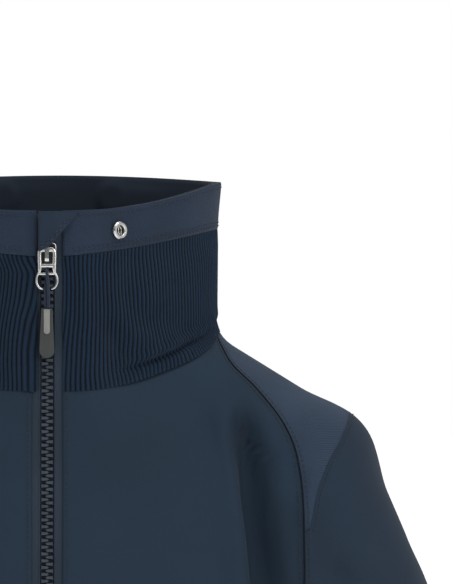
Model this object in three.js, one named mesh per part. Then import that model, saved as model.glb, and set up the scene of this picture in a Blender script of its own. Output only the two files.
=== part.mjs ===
// A high-collared foul weather jacket, zipped up and hanging as if worn: +Z up, the front faces -Y and
// +X is the wearer's left. Millimetres. The origin is on the neck's axis, level with the collar seam at
// the front zip.
import * as THREE from "three";

// ---- Driving dimensions ------------------------------------------------------------------------
// Neck and collar
const NECK_HALF_WIDTH = 103; // half the collar's width
const NECK_FRONT_DEPTH = 90; // from the neck's axis to the collar at the front, at its top edge
const NECK_BACK_DEPTH = 72;
const NECK_FRONT_SHARPNESS = 1.65; // superellipse power of the collar's front: near 1 is pointed
const NECK_BACK_SHARPNESS = 2.2;
const COLLAR_FRONT_HEIGHT = 110; // top edge above the collar seam at the zip
const COLLAR_SIDE_LIFT = 17.5; // how much higher the top edge is at the side of the neck
const COLLAR_BACK_LIFT = 22;
const BAND_HEIGHT = 28; // the smooth band above the ribs, at the zip
const BAND_SIDE_HEIGHT = 29.5;
const SEAM_SIDE_RISE = 33; // how far the collar seam climbs from the zip to the side of the neck
const SEAM_BACK_RISE = 46;
// Shoulders and sleeves: the arm's axis in the XZ plane and its radius, from the neck to the cuff
const SHOULDER_TIP = [163.3, -51.3];
const SHOULDER_RADIUS = 38;
const SHOULDER_ROOT = [40, 12];
const SHOULDER_ROOT_RADIUS = 49;
const UPPER_ARM = [188, -150];
const UPPER_ARM_RADIUS = 50;
const ELBOW = [224, -265];
const ELBOW_RADIUS = 47;
const FOREARM = [252, -400];
const FOREARM_RADIUS = 42;
const CUFF_X = 272;
const CUFF_Z = -570;
const CUFF_RADIUS = 35;
const SLEEVE_FLATNESS = 0.75; // a sleeve's width over its depth
// Body
const HEM_Z = -640;
const CHEST_HALF_WIDTH = 164;
const HEM_HALF_WIDTH = 178;
const BACK_DEPTH = 118;
const HEM_BACK_DEPTH = 122;
const ZIP_LEAN = 0.045; // how far the front zip leans back for each millimetre that it climbs
const UNDERARM_X = 168;
const BODY_SHARPNESS = 2.3;
// How far from each other two forms start to melt together
const NECK_MELT = 8;
const ARM_MELT = 12; // between two stretches of the arm
const SHOULDER_MELT = 8;
const ARMPIT_MELT = 30;
const SIDE_MELT = 1.5; // below the underarm, where the sleeve hangs beside the body
// Cloth
const SHELL = 1.2; // outer fabric's thickness
const LINING = 1.0;
const SEAM_GAP = 0.6; // between two panels that a seam joins
const LAYER_GAP = 0.4; // between two layers of cloth
const LINING_SEAM_GAP = 2.4; // the linings stop short of the seams, which carry them
const POCKET_BAG = 1.2;
// Front zip
const FRONT_EDGE = 9.5; // from the zip's centre line to each front edge of the shell
const FLAT_HALF_WIDTH = 18; // the cloth is flat this far to each side of the zip
const CHAIN_WIDTH = 7.3;
const CHAIN_DEPTH = 2.6;
const TOOTH_PITCH = 4.12;
const TOOTH_REACH = 1.2;
const TOOTH_ROOT = 1.45; // from the chain's outer edge to the feet of its teeth
const STOP_GAP = 2.2; // between the two top stops
const TAPE_WIDTH = 12;
const TAPE_THICKNESS = 0.6;
const TEETH_BELOW_EDGE = 17; // from the collar's top edge down to the last tooth
const TEETH_TOP = COLLAR_FRONT_HEIGHT - TEETH_BELOW_EDGE;
const FIT = 0.3; // clearance of what slides or seats in the zip
// Slider, pull, cord and tab
const SLIDER_BELOW_TEETH_TOP = 9; // to the slider's middle when the zip is closed
const SLIDER_AT = TEETH_TOP - SLIDER_BELOW_TEETH_TOP;
const SLIDER_LENGTH = 14;
const SLIDER_WIDTH = 11.4;
const SLIDER_PLATE = 1.3;
const POST_CLEARANCE = 0.4; // from the slider's post to the chain on each side
const CROWN_WIDTH = 2.4;
const CROWN_RISE = 5;
const CROWN_WALL = 1.3;
const CROWN_LENGTH = 10.4;
const PULL_WIDTH = 11.5;
const PULL_THICKNESS = 1.2;
const PULL_RAIL = 2.4;
const PULL_SLOT = 8.4; // along the pull, where the crown stands
const PULL_BAR = 1.6;
const PULL_RING_WIDTH = 14;
const PULL_RING_LENGTH = 9;
const CORD_RADIUS = 0.8;
const CORD_SLACK = 0.4; // between the cord and the bar it loops over
const CORD_DROP = 21; // from the pull's lower bar to the tab
const TAB_LENGTH = 30;
const TAB_TOP_WIDTH = 6.7;
const TAB_WIDTH = 9;
const TAB_THICKNESS = 2.6;
const INLAY_WIDTH = 3.7;
const INLAY_LENGTH = 15;
const INLAY_THICKNESS = 0.5;
// Snaps for the hood
const SNAP_RADIUS = 5.45;
const SNAP_HOLE = 3.1;
const SNAP_HEIGHT = 2.2;
const SNAP_BELOW_EDGE = 14;
const SNAP_FRONT_TURN = 29; // degrees round the collar from the zip
const SNAP_BACK_TURN = 152;
// Garage over the slider
const GARAGE_LEFT = 20;
const GARAGE_RIGHT = 5.2;
const GARAGE_HEIGHT = 24.4;
const GARAGE_CLOTH = 0.8;
// Cuff tabs, pockets and the hanger
const CUFF_TAB_HEIGHT = 32;
const CUFF_TAB_THICKNESS = 1.6;
const CUFF_TAB_TURN = 105; // degrees of the cuff that a tab covers
const CUFF_TAB_UP = 14; // from the cuff's edge
const POCKET_TOP = -330;
const POCKET_LENGTH = 150;
const POCKET_TURN = 50; // degrees round the body from the zip
const POCKET_ZIP_WIDTH = 14;
const POCKET_ZIP_DEPTH = 1.8;
const POCKET_ZIP_LIFT = 0.2; // its tape stands off the chord of the curved cloth
const POCKET_SLIDER = [8, 3, 10];
const POCKET_PULL = [5, 1.2, 24];
const FLAP_HALF_WIDTH = 20;
const FLAP_THICKNESS = 0.8;
const HANGER_SPAN = 50;
const HANGER_DROP = 22;
const HANGER_WIDTH = 6;
const HANGER_THICKNESS = 1.2;

// ---- Colours -----------------------------------------------------------------------------------
const cloth = (hex) => new THREE.MeshStandardMaterial({ color: hex, roughness: 0.9, metalness: 0 });
const SHELL_CLOTH = cloth(0x25313e);
const SHOULDER_CLOTH = cloth(0x3a4759);
const SLEEVE_CLOTH = cloth(0x2d3a48);
const RIB_CLOTH = cloth(0x1c2836);
const BAND_CLOTH = cloth(0x2b3747);
const LINING_CLOTH = cloth(0x242d38);
const POCKET_CLOTH = cloth(0x1d242c);
const TAPE_CLOTH = cloth(0x28313b);
const TEETH_PLASTIC = new THREE.MeshStandardMaterial({ color: 0x2b323c, roughness: 0.4, metalness: 0 });
const METAL = new THREE.MeshStandardMaterial({ color: 0xb8b8b4, roughness: 0.25, metalness: 1 });
const CORD_CLOTH = cloth(0x1c2738);
const TAB_RUBBER = new THREE.MeshStandardMaterial({ color: 0x353838, roughness: 0.6, metalness: 0 });
const INLAY_RUBBER = new THREE.MeshStandardMaterial({ color: 0x6a6a68, roughness: 0.5, metalness: 0 });

const jacket = new THREE.Group();
const RAD = Math.PI / 180;
const point = (x, y, z) => new THREE.Vector3(x, y, z);
const mix = THREE.MathUtils.lerp;
const ease = (low, high, t) => THREE.MathUtils.smoothstep(t, low, high);

function addMesh(name, geometry, material, group = jacket) {
  const mesh = new THREE.Mesh(geometry, material);
  mesh.name = name;
  group.add(mesh);
  return mesh;
}

// ---- The worn form -----------------------------------------------------------------------------
// A value that changes smoothly with height, through stations [height, value] in rising order.
function profile(stations) {
  const last = stations.length - 1;
  const slope = (i) => {
    const low = stations[Math.max(i - 1, 0)];
    const high = stations[Math.min(i + 1, last)];
    return (high[1] - low[1]) / (high[0] - low[0]);
  };
  return (z) => {
    if (z <= stations[0][0]) return stations[0][1];
    if (z >= stations[last][0]) return stations[last][1];
    const i = stations.findIndex((station) => station[0] > z) - 1;
    const span = stations[i + 1][0] - stations[i][0];
    const t = (z - stations[i][0]) / span;
    const bulge = slope(i) * (1 - t) - slope(i + 1) * t;
    return mix(stations[i][1], stations[i + 1][1], t * t * (3 - 2 * t)) + bulge * span * t * (1 - t);
  };
}

const zipDepth = (z) => NECK_FRONT_DEPTH + ZIP_LEAN * (COLLAR_FRONT_HEIGHT - z);
const neckBack = profile([
  [0, NECK_BACK_DEPTH + 12],
  [SEAM_BACK_RISE, NECK_BACK_DEPTH + 1],
  [COLLAR_FRONT_HEIGHT + COLLAR_BACK_LIFT, NECK_BACK_DEPTH],
]);
const bodyHalfWidth = profile([
  [HEM_Z, HEM_HALF_WIDTH],
  [-450, CHEST_HALF_WIDTH + 5],
  [-300, CHEST_HALF_WIDTH + 2],
  [-220, CHEST_HALF_WIDTH],
  [-160, CHEST_HALF_WIDTH - 6],
  [-100, CHEST_HALF_WIDTH - 18],
  [-50, CHEST_HALF_WIDTH - 38],
  [0, CHEST_HALF_WIDTH - 72],
  [40, 40],
]);
const bodyBack = profile([
  [HEM_Z, HEM_BACK_DEPTH],
  [-400, BACK_DEPTH - 5],
  [-250, BACK_DEPTH + 1],
  [-150, BACK_DEPTH],
  [-60, BACK_DEPTH - 11],
  [0, BACK_DEPTH - 32],
  [50, 50],
]);
const bodyFront = profile([
  [HEM_Z, zipDepth(HEM_Z)],
  [-100, zipDepth(-100)],
  [0, zipDepth(0) - 4],
  [40, 50],
]);

// Signed distance, close enough near the surface, to an upright tube of superellipse section.
function tube(p, halfWidth, depth, sharpness) {
  const across = Math.abs(p.x / halfWidth) ** sharpness;
  const along = Math.abs(p.y / depth) ** sharpness;
  return ((across + along) ** (1 / sharpness) - 1) * Math.min(halfWidth, depth);
}

function neckForm(p) {
  const front = p.y < 0;
  const sharpness = front ? NECK_FRONT_SHARPNESS : NECK_BACK_SHARPNESS;
  const widening = 2.5 * ease(COLLAR_FRONT_HEIGHT - 10, COLLAR_FRONT_HEIGHT + COLLAR_BACK_LIFT, p.z);
  return tube(p, NECK_HALF_WIDTH + widening, front ? zipDepth(p.z) : neckBack(p.z), sharpness);
}

const bodyForm = (p) =>
  tube(p, bodyHalfWidth(p.z), p.y < 0 ? bodyFront(p.z) : bodyBack(p.z), BODY_SHARPNESS);

const PAST_CUFF = 1.35; // the form runs on straight past the cuff, as a share of the forearm
const armStations = [
  [SHOULDER_ROOT, SHOULDER_ROOT_RADIUS],
  [SHOULDER_TIP, SHOULDER_RADIUS],
  [UPPER_ARM, UPPER_ARM_RADIUS],
  [ELBOW, ELBOW_RADIUS],
  [FOREARM, FOREARM_RADIUS],
  [
    [mix(FOREARM[0], CUFF_X, PAST_CUFF), mix(FOREARM[1], CUFF_Z, PAST_CUFF)],
    mix(FOREARM_RADIUS, CUFF_RADIUS, PAST_CUFF),
  ],
];

function softMin(a, b, reach) {
  const h = Math.max(reach - Math.abs(a - b), 0) / reach;
  return Math.min(a, b) - (h * h * reach) / 4;
}

// The arm is a chain of round cones, squeezed along Y.
function armForm(p) {
  const x = Math.abs(p.x);
  const y = p.y * SLEEVE_FLATNESS;
  let nearest = Infinity;
  for (let i = 0; i + 1 < armStations.length; i++) {
    const [[ax, az], ra] = armStations[i];
    const [[bx, bz], rb] = armStations[i + 1];
    const along = ((x - ax) * (bx - ax) + (p.z - az) * (bz - az)) / ((bx - ax) ** 2 + (bz - az) ** 2);
    const t = THREE.MathUtils.clamp(along, 0, 1);
    const away = Math.hypot(x - mix(ax, bx, t), y, p.z - mix(az, bz, t));
    nearest = softMin(nearest, away - mix(ra, rb, t), ARM_MELT);
  }
  return nearest;
}

// Neck, body and arms melt together above the underarm and part below it.
function wornForm(p) {
  const trunk = softMin(neckForm(p), bodyForm(p), NECK_MELT);
  const armpit = mix(SIDE_MELT, ARMPIT_MELT, ease(-235, -120, p.z));
  return softMin(trunk, armForm(p), mix(armpit, SHOULDER_MELT, ease(-70, -20, p.z)));
}

const trunkForm = (p) => (p.z < UNDERARM.z ? bodyForm(p) : wornForm(p));
const sleeveForm = (p) => (p.z < UNDERARM.z ? armForm(p) : wornForm(p));

// Walks a straight line from `start` until the form changes sign, then narrows down to the surface.
function strike(form, start, direction, reach = 320, step = 4) {
  const p = start.clone();
  const inside = form(p) < 0;
  let travelled = 0;
  while (form(p) < 0 === inside && travelled < reach) {
    p.addScaledVector(direction, step);
    travelled += step;
  }
  let half = step / 2;
  let forward = -1;
  for (let i = 0; i < 24; i++) {
    p.addScaledVector(direction, forward * half);
    forward = form(p) < 0 === inside ? 1 : -1;
    half /= 2;
  }
  return p;
}

function slopeOf(form, p) {
  const step = 0.05;
  const change = (x, y, z) =>
    form(point(p.x + x, p.y + y, p.z + z)) - form(point(p.x - x, p.y - y, p.z - z));
  return point(change(step, 0, 0), change(0, step, 0), change(0, 0, step)).divideScalar(2 * step);
}

// Moves a point near the form on to it, against the form's slope.
function settle(form, p) {
  for (let i = 0; i < 8; i++) {
    const slope = slopeOf(form, p);
    p.addScaledVector(slope, -form(p) / slope.lengthSq());
  }
  return p;
}

const UNDERARM = point(0, 0, -1000);
UNDERARM.copy(strike(wornForm, point(UNDERARM_X, 0, -262), point(0, 0, 1)));

// Both front edges lie in one plane with the zip, so the cloth is flat near it.
function pressFlat(p) {
  if (p.y < 0) p.y = mix(-zipDepth(p.z), p.y, ease(FLAT_HALF_WIDTH, 50, Math.abs(p.x)));
  return p;
}

// The surface straight out from the neck's axis: `turn` is 0 at the zip, 90 at the left side.
function around(form, turn, z) {
  const direction = point(Math.sin(turn * RAD), -Math.cos(turn * RAD), 0);
  return pressFlat(strike(form, point(0, 0, z), direction));
}
const ZIP_OUTWARD = point(0, -1, ZIP_LEAN).normalize();

// Straight out of the cloth at a point on the surface.
function outwardAt(form, p) {
  const outward = slopeOf(form, p).normalize();
  const curved = p.y < 0 ? ease(FLAT_HALF_WIDTH, 50, Math.abs(p.x)) : 1;
  return outward.lerp(ZIP_OUTWARD, 1 - curved).normalize();
}
const turnOf = (p) => Math.atan2(p.x, -p.y) / RAD;
const edgeTurn = (z) => Math.atan2(FRONT_EDGE, zipDepth(z)) / RAD;
const flatTurn = (z) => Math.atan2(FLAT_HALF_WIDTH, zipDepth(z)) / RAD;

// ---- Seam lines --------------------------------------------------------------------------------
// Where a turn round the neck falls across its width, from 0 at the zip to 1 at the side.
function acrossNeck(turn) {
  const x = Math.abs(Math.sin(turn * RAD));
  const y = Math.abs(Math.cos(turn * RAD));
  const front = turn < 90;
  const power = front ? NECK_FRONT_SHARPNESS : NECK_BACK_SHARPNESS;
  const depth = front ? NECK_FRONT_DEPTH : NECK_BACK_DEPTH;
  return x / NECK_HALF_WIDTH / ((x / NECK_HALF_WIDTH) ** power + (y / depth) ** power) ** (1 / power);
}

// A height round the neck that rises by `side` with a power to the side, and on to `back`.
function neckHeight(turn, base, side, power, back) {
  const across = acrossNeck(turn);
  if (turn <= 90) return base + side * across ** power;
  return base + mix(back, side, across ** 2);
}
const seamHeight = (turn) => neckHeight(turn, 0, SEAM_SIDE_RISE, 2.6, SEAM_BACK_RISE);
const topHeight = (turn) => neckHeight(turn, COLLAR_FRONT_HEIGHT, COLLAR_SIDE_LIFT, 2.6, COLLAR_BACK_LIFT);
const bandHeight = (turn) => {
  const sideRise = COLLAR_SIDE_LIFT + BAND_HEIGHT - BAND_SIDE_HEIGHT;
  const base = COLLAR_FRONT_HEIGHT - BAND_HEIGHT;
  return neckHeight(turn, base, sideRise, 1.6, COLLAR_BACK_LIFT + BAND_HEIGHT - BAND_SIDE_HEIGHT);
};

const RAGLAN_FRONT_TURN = 82;
const RAGLAN_BACK_TURN = 106;
const SHOULDER_TURNS = [90, 98]; // between the two, where the shoulder panel meets the collar
// The raglan seam seen from the front, [x, z], from the collar down to the underarm.
const RAGLAN_LINE = [
  [111.3, 15.6],
  [127.5, -0.6],
  [145.3, -23.9],
  [153.4, -46.7],
  [157, -88],
  [158.5, -130],
  [161, -165],
  [165, -197],
];
const RAGLAN_TIP = 4; // the point of the raglan line where the shoulder panel ends

const seamPoint = (turn) => around(wornForm, turn, seamHeight(turn));
// `side` is -1 on the front and 1 on the back.
const acrossAt = (x, z, side) => strike(wornForm, point(x, side * 260, z), point(0, -side, 0));
const raglanSeam = (side) => [
  seamPoint(side < 0 ? RAGLAN_FRONT_TURN : RAGLAN_BACK_TURN),
  ...RAGLAN_LINE.map(([x, z]) => acrossAt(x, z, side)),
  UNDERARM.clone(),
];
const FRONT_RAGLAN = raglanSeam(-1);
const BACK_RAGLAN = raglanSeam(1);
const TIP_INDEX = RAGLAN_TIP + 1; // the corner at the collar comes first

// The seam between the shoulder panel and the sleeve, over the shoulder from front to back.
const halfSleeveSeam = (side) =>
  [
    [160, -88],
    [165, -64],
    [172, -46],
    [179, -34],
  ].map(([x, z]) => acrossAt(x, z, side));
const SLEEVE_SEAM = new THREE.CatmullRomCurve3([
  ...halfSleeveSeam(-1),
  settle(wornForm, point(186, -16, -19)),
  settle(wornForm, point(186, 16, -19)),
  ...halfSleeveSeam(1).reverse(),
]);

// ---- Cloth panels as grids of points -----------------------------------------------------------
// A closed sheet under a grid of points on `form`. Columns run anticlockwise seen from above and rows
// run up. `sunk` is the depth of its outer face, and `gap` draws its edges in from the seams.
function sheet(form, rows, thickness, { sunk = 0, ring = false, gap = SEAM_GAP / 2 } = {}) {
  const outward = rows.map((row) => row.map((p) => outwardAt(form, p)));
  const high = rows.length;
  const wide = rows[0].length;
  const grid = rows.map((row) => row.map((p) => p.clone()));
  const pull = (p, toward) => p.addScaledVector(toward.clone().sub(p).normalize(), gap);
  if (!ring) {
    for (const row of grid) {
      pull(row[0], row[1]);
      pull(row[wide - 1], row[wide - 2]);
    }
  }
  for (let i = 0; i < wide; i++) {
    pull(grid[0][i], grid[1][i]);
    pull(grid[high - 1][i], grid[high - 2][i]);
  }
  const beside = (i) => (ring ? (i + wide) % wide : THREE.MathUtils.clamp(i, 0, wide - 1));
  const vertices = [];
  for (const depth of [sunk, sunk + thickness]) {
    grid.forEach((row, j) =>
      row.forEach((p, i) => vertices.push(...p.clone().addScaledVector(outward[j][i], -depth))),
    );
  }
  const at = (face, i, j) => face * high * wide + j * wide + beside(i);
  const faces = [];
  const quad = (a, b, c, d) => faces.push(a, b, c, a, c, d);
  const columns = ring ? wide : wide - 1;
  for (let i = 0; i < columns; i++) {
    for (let j = 0; j + 1 < high; j++) {
      const corners = [[i, j], [i + 1, j], [i + 1, j + 1], [i, j + 1]];
      const spots = corners.map(([column, row]) => grid[row][beside(column)]);
      // Both faces split each cell along its shorter diagonal.
      if (spots[0].distanceTo(spots[2]) > spots[1].distanceTo(spots[3])) corners.push(corners.shift());
      quad(...corners.map(([column, row]) => at(0, column, row)));
      const [a, b, c, d] = corners.map(([column, row]) => at(1, column, row));
      faces.push(a, c, b, a, d, c);
    }
    quad(at(1, i, 0), at(1, i + 1, 0), at(0, i + 1, 0), at(0, i, 0));
    quad(at(0, i, high - 1), at(0, i + 1, high - 1), at(1, i + 1, high - 1), at(1, i, high - 1));
  }
  if (!ring) {
    for (let j = 0; j + 1 < high; j++) {
      quad(at(1, 0, j), at(0, 0, j), at(0, 0, j + 1), at(1, 0, j + 1));
      quad(at(0, wide - 1, j), at(1, wide - 1, j), at(1, wide - 1, j + 1), at(0, wide - 1, j + 1));
    }
  }
  const geometry = new THREE.BufferGeometry();
  geometry.setAttribute("position", new THREE.Float32BufferAttribute(vertices, 3));
  geometry.setIndex(faces);
  return geometry;
}

// The same grid on the other side of the body, with its columns still running anticlockwise.
const mirrored = (rows) => rows.map((row) => row.map((p) => point(-p.x, p.y, p.z)).reverse());
const SIDES = [
  ["left", (rows) => rows],
  ["right", mirrored],
];
const steps = (count) => Array.from({ length: count + 1 }, (_, i) => i / count);

const HEM_ROWS = 6; // rows between the hem and the underarm
const FRONT_COLUMNS = 7;
const BACK_COLUMNS = 12;

// The far ends of a body panel's rows: up the side seam, then up the raglan seam.
const sideSeam = (raglan) => [
  ...steps(HEM_ROWS)
    .slice(0, -1)
    .map((t) => around(trunkForm, 90, mix(HEM_Z, UNDERARM.z, t))),
  ...raglan.slice().reverse(),
];

// Each row runs between two turns and two heights. The rows bend towards the collar seam near the top.
function bodyRow(share, turns, startZ, endZ) {
  const first = turns[0];
  const last = turns[turns.length - 1];
  const seamAt = (turn) => seamHeight(Math.min(turn, 360 - turn));
  return turns.map((turn) => {
    const u = (turn - first) / (last - first);
    const dip = seamAt(turn) - mix(seamAt(first), seamAt(last), u);
    return around(trunkForm, turn, mix(startZ, endZ, u) + dip * share ** 5);
  });
}
const spread = (start, end, count) => steps(count).map((t) => mix(start, end, t));

function frontRows() {
  const ends = sideSeam(FRONT_RAGLAN);
  return ends.map((end, j) => {
    const share = j / (ends.length - 1);
    const z = j <= HEM_ROWS ? end.z : mix(UNDERARM.z, 0, (j - HEM_ROWS) / (ends.length - 1 - HEM_ROWS));
    const turns = [edgeTurn(z), ...spread(flatTurn(z), turnOf(end), FRONT_COLUMNS)];
    return [...bodyRow(share, turns, z, end.z).slice(0, -1), end];
  });
}

function backRows() {
  const ends = sideSeam(BACK_RAGLAN);
  return ends.map((end, j) => {
    const share = j / (ends.length - 1);
    const turn = turnOf(end);
    const row = bodyRow(share, spread(turn, 360 - turn, BACK_COLUMNS), end.z, end.z);
    return [end, ...row.slice(1, -1), point(-end.x, end.y, end.z)];
  });
}

function shoulderRows() {
  const inner = [
    ...FRONT_RAGLAN.slice(0, TIP_INDEX + 1).reverse(),
    ...SHOULDER_TURNS.map(seamPoint),
    ...BACK_RAGLAN.slice(0, TIP_INDEX + 1),
  ];
  const outer = SLEEVE_SEAM.getSpacedPoints(inner.length - 1);
  return steps(3).map((t) => outer.map((p, i) => settle(wornForm, p.clone().lerp(inner[i], t))));
}

// The sleeve's top edge, round from the underarm: front raglan, shoulder panel, back raglan.
function sleeveRows(shoulder) {
  const top = [
    ...FRONT_RAGLAN.slice(TIP_INDEX).reverse(),
    ...shoulder[0],
    ...BACK_RAGLAN.slice(TIP_INDEX, -1),
  ];
  const travelled = [0];
  for (let i = 1; i < top.length; i++) travelled.push(travelled[i - 1] + top[i].distanceTo(top[i - 1]));
  const round = travelled[top.length - 1] + top[0].distanceTo(top[top.length - 1]);
  const cuff = travelled.map((length) => {
    const turn = (length / round) * 2 * Math.PI;
    const x = CUFF_X - CUFF_RADIUS * Math.cos(turn);
    return point(x, (-CUFF_RADIUS / SLEEVE_FLATNESS) * Math.sin(turn), CUFF_Z);
  });
  return [1, 0.9, 0.76, 0.61, 0.46, 0.31, 0.18, 0.08, 0].map((t) =>
    top.map((p, i) => (t === 0 ? p.clone() : settle(sleeveForm, p.clone().lerp(cuff[i], t)))),
  );
}

// Rows round the whole collar from one front edge to the other, between two heights. The columns meet
// those of the front, shoulder and back panels at the collar seam.
function collarRows(low, high, count) {
  return steps(count).map((t) => {
    const z = mix(low(0), high(0), t);
    const half = [
      edgeTurn(z),
      ...spread(flatTurn(z), RAGLAN_FRONT_TURN, FRONT_COLUMNS),
      ...SHOULDER_TURNS,
    ];
    const back = spread(RAGLAN_BACK_TURN, 360 - RAGLAN_BACK_TURN, BACK_COLUMNS);
    const turns = [...half, ...back, ...half.map((turn) => 360 - turn).reverse()];
    return turns.map((turn) => {
      const near = Math.min(turn, 360 - turn);
      return around(wornForm, turn, mix(low(near), high(near), t));
    });
  });
}

const BODY_LINING_DEPTH = SHELL + POCKET_BAG + 2 * LAYER_GAP;
const NECK_LINING_DEPTH = SHELL + TAPE_THICKNESS + 2 * FIT;

function buildBody() {
  const back = backRows();
  const front = frontRows();
  const lining = { sunk: BODY_LINING_DEPTH, gap: LINING_SEAM_GAP / 2 };
  addMesh("back_panel", sheet(trunkForm, back, SHELL), SHELL_CLOTH);
  addMesh("back_lining", sheet(trunkForm, back, LINING, lining), LINING_CLOTH);
  for (const [side, turned] of SIDES) {
    const rows = turned(front);
    addMesh(`front_panel_${side}`, sheet(trunkForm, rows, SHELL), SHELL_CLOTH);
    addMesh(`front_lining_${side}`, sheet(trunkForm, rows, LINING, lining), LINING_CLOTH);
    // The pocket's bag hangs between the two, from the pocket's mouth towards the zip.
    const bagRows = turned(front.slice(1, 5).map((row) => row.slice(2, 6)));
    const bag = sheet(trunkForm, bagRows, POCKET_BAG, { sunk: SHELL + LAYER_GAP, gap: 0 });
    addMesh(`pocket_bag_${side}`, bag, POCKET_CLOTH);
  }
}

function buildSleeves() {
  const shoulder = shoulderRows();
  const sleeve = sleeveRows(shoulder);
  const lining = { ring: true, sunk: SHELL + LAYER_GAP, gap: LINING_SEAM_GAP / 2 };
  for (const [side, turned] of SIDES) {
    addMesh(`shoulder_panel_${side}`, sheet(wornForm, turned(shoulder), SHELL), SHOULDER_CLOTH);
    addMesh(`sleeve_${side}`, sheet(sleeveForm, turned(sleeve), SHELL, { ring: true }), SLEEVE_CLOTH);
    addMesh(`sleeve_lining_${side}`, sheet(sleeveForm, turned(sleeve), LINING, lining), LINING_CLOTH);
  }
}

function buildCollar() {
  const rib = collarRows(seamHeight, bandHeight, 4);
  const band = collarRows(bandHeight, topHeight, 2);
  const inner = { sunk: NECK_LINING_DEPTH, gap: LINING_SEAM_GAP / 2 };
  addMesh("collar_rib", sheet(wornForm, rib, SHELL), RIB_CLOTH);
  addMesh("collar_band", sheet(wornForm, band, SHELL), BAND_CLOTH);
  const lining = sheet(wornForm, [...rib, ...band.slice(1)], LINING, inner);
  addMesh("collar_lining", lining, LINING_CLOTH);
}

// ---- Front zip, in its own frame: Z along the zip, -Y out of the cloth --------------------------
const zip = new THREE.Group();
zip.position.set(0, -zipDepth(0), 0);
zip.rotation.x = -Math.atan(ZIP_LEAN);
jacket.add(zip);
const ZIP_STRETCH = Math.hypot(1, ZIP_LEAN);
const ZIP_BOTTOM = HEM_Z * ZIP_STRETCH;

// A box from one corner to the opposite one.
function block(x0, y0, z0, x1, y1, z1) {
  const geometry = new THREE.BoxGeometry(x1 - x0, y1 - y0, z1 - z0);
  return geometry.translate((x0 + x1) / 2, (y0 + y1) / 2, (z0 + z1) / 2);
}

// A plate whose outline is drawn in X and Z, seen from the front, and runs back from `front`.
function plate(shape, front, thickness) {
  const geometry = new THREE.ExtrudeGeometry(shape, { depth: thickness, bevelEnabled: false, curveSegments: 8 });
  return geometry.rotateX(Math.PI / 2).translate(0, front + thickness, 0);
}

const TEETH_BOTTOM = ZIP_BOTTOM + 14;
const CHAIN_FRONT = FIT;
const CHAIN_SLOT_HALF = CHAIN_WIDTH / 2 - TOOTH_ROOT - TOOTH_REACH; // the slider's post runs in the slot

// One half of the chain: a strip with pointed teeth towards the other half.
function teethHalf(side) {
  const shape = new THREE.Shape();
  const inner = CHAIN_SLOT_HALF;
  shape.moveTo(side * (CHAIN_WIDTH / 2), TEETH_BOTTOM);
  const count = Math.floor((TEETH_TOP - TEETH_BOTTOM) / TOOTH_PITCH);
  for (let i = 0; i < count; i++) {
    const base = TEETH_BOTTOM + i * TOOTH_PITCH;
    shape.lineTo(side * (inner + TOOTH_REACH), base);
    shape.lineTo(side * inner, base + TOOTH_PITCH / 2);
  }
  shape.lineTo(side * (inner + TOOTH_REACH), TEETH_BOTTOM + count * TOOTH_PITCH);
  shape.lineTo(side * (CHAIN_WIDTH / 2), TEETH_BOTTOM + count * TOOTH_PITCH);
  return plate(shape, CHAIN_FRONT, CHAIN_DEPTH);
}

function buildZip() {
  const tapeFront = SHELL + FIT;
  const tapeBack = tapeFront + TAPE_THICKNESS;
  const tapeInner = CHAIN_WIDTH / 2 + FIT;
  const chainBack = CHAIN_FRONT + CHAIN_DEPTH;
  const stopTop = TEETH_TOP + 4;
  for (const [side, s] of [["left", 1], ["right", -1]]) {
    const near = Math.min(s * tapeInner, s * (tapeInner + TAPE_WIDTH));
    const tapeTop = COLLAR_FRONT_HEIGHT - 2;
    const tape = block(near, tapeFront, ZIP_BOTTOM + 2, near + TAPE_WIDTH, tapeBack, tapeTop);
    addMesh(`zip_tape_${side}`, tape, TAPE_CLOTH, zip);
    addMesh(`zip_teeth_${side}`, teethHalf(s), TEETH_PLASTIC, zip);
    const outer = Math.min((s * STOP_GAP) / 2, (s * CHAIN_WIDTH) / 2);
    const wide = (CHAIN_WIDTH - STOP_GAP) / 2;
    const stop = block(outer, CHAIN_FRONT, TEETH_TOP + FIT, outer + wide, chainBack, stopTop);
    addMesh(`zip_top_stop_${side}`, stop, TEETH_PLASTIC, zip);
  }
  const boxTop = TEETH_BOTTOM - FIT;
  const box = block(-CHAIN_WIDTH / 2, CHAIN_FRONT, ZIP_BOTTOM + 2, -FIT / 2, chainBack, boxTop);
  addMesh("zip_retainer_box", box, TEETH_PLASTIC, zip);
  const pin = block(FIT / 2, CHAIN_FRONT + FIT, ZIP_BOTTOM + 2, CHAIN_WIDTH / 2, chainBack - FIT, boxTop);
  addMesh("zip_retainer_pin", pin, TEETH_PLASTIC, zip);
  const flapFront = BODY_LINING_DEPTH + LINING + LAYER_GAP;
  const flapTop = COLLAR_FRONT_HEIGHT - 12;
  const flap = block(
    -FLAP_HALF_WIDTH, flapFront, ZIP_BOTTOM + 4,
    FLAP_HALF_WIDTH, flapFront + FLAP_THICKNESS, flapTop,
  );
  addMesh("storm_flap", flap, LINING_CLOTH, zip);
}

// ---- Slider with its crown, pull, cord and tab --------------------------------------------------
const PULL_AXIS_OUT = SLIDER_PLATE + 2.4; // the pull's pivot, out from the shell's surface
const PULL_AXIS_AT = SLIDER_AT + 1.5;
const PULL_MID = PULL_BAR / 2;
const LOWER_BAR_DROP = PULL_SLOT + 2 * PULL_BAR + 2.4; // from the pivot to the bar that holds the cord

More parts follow.
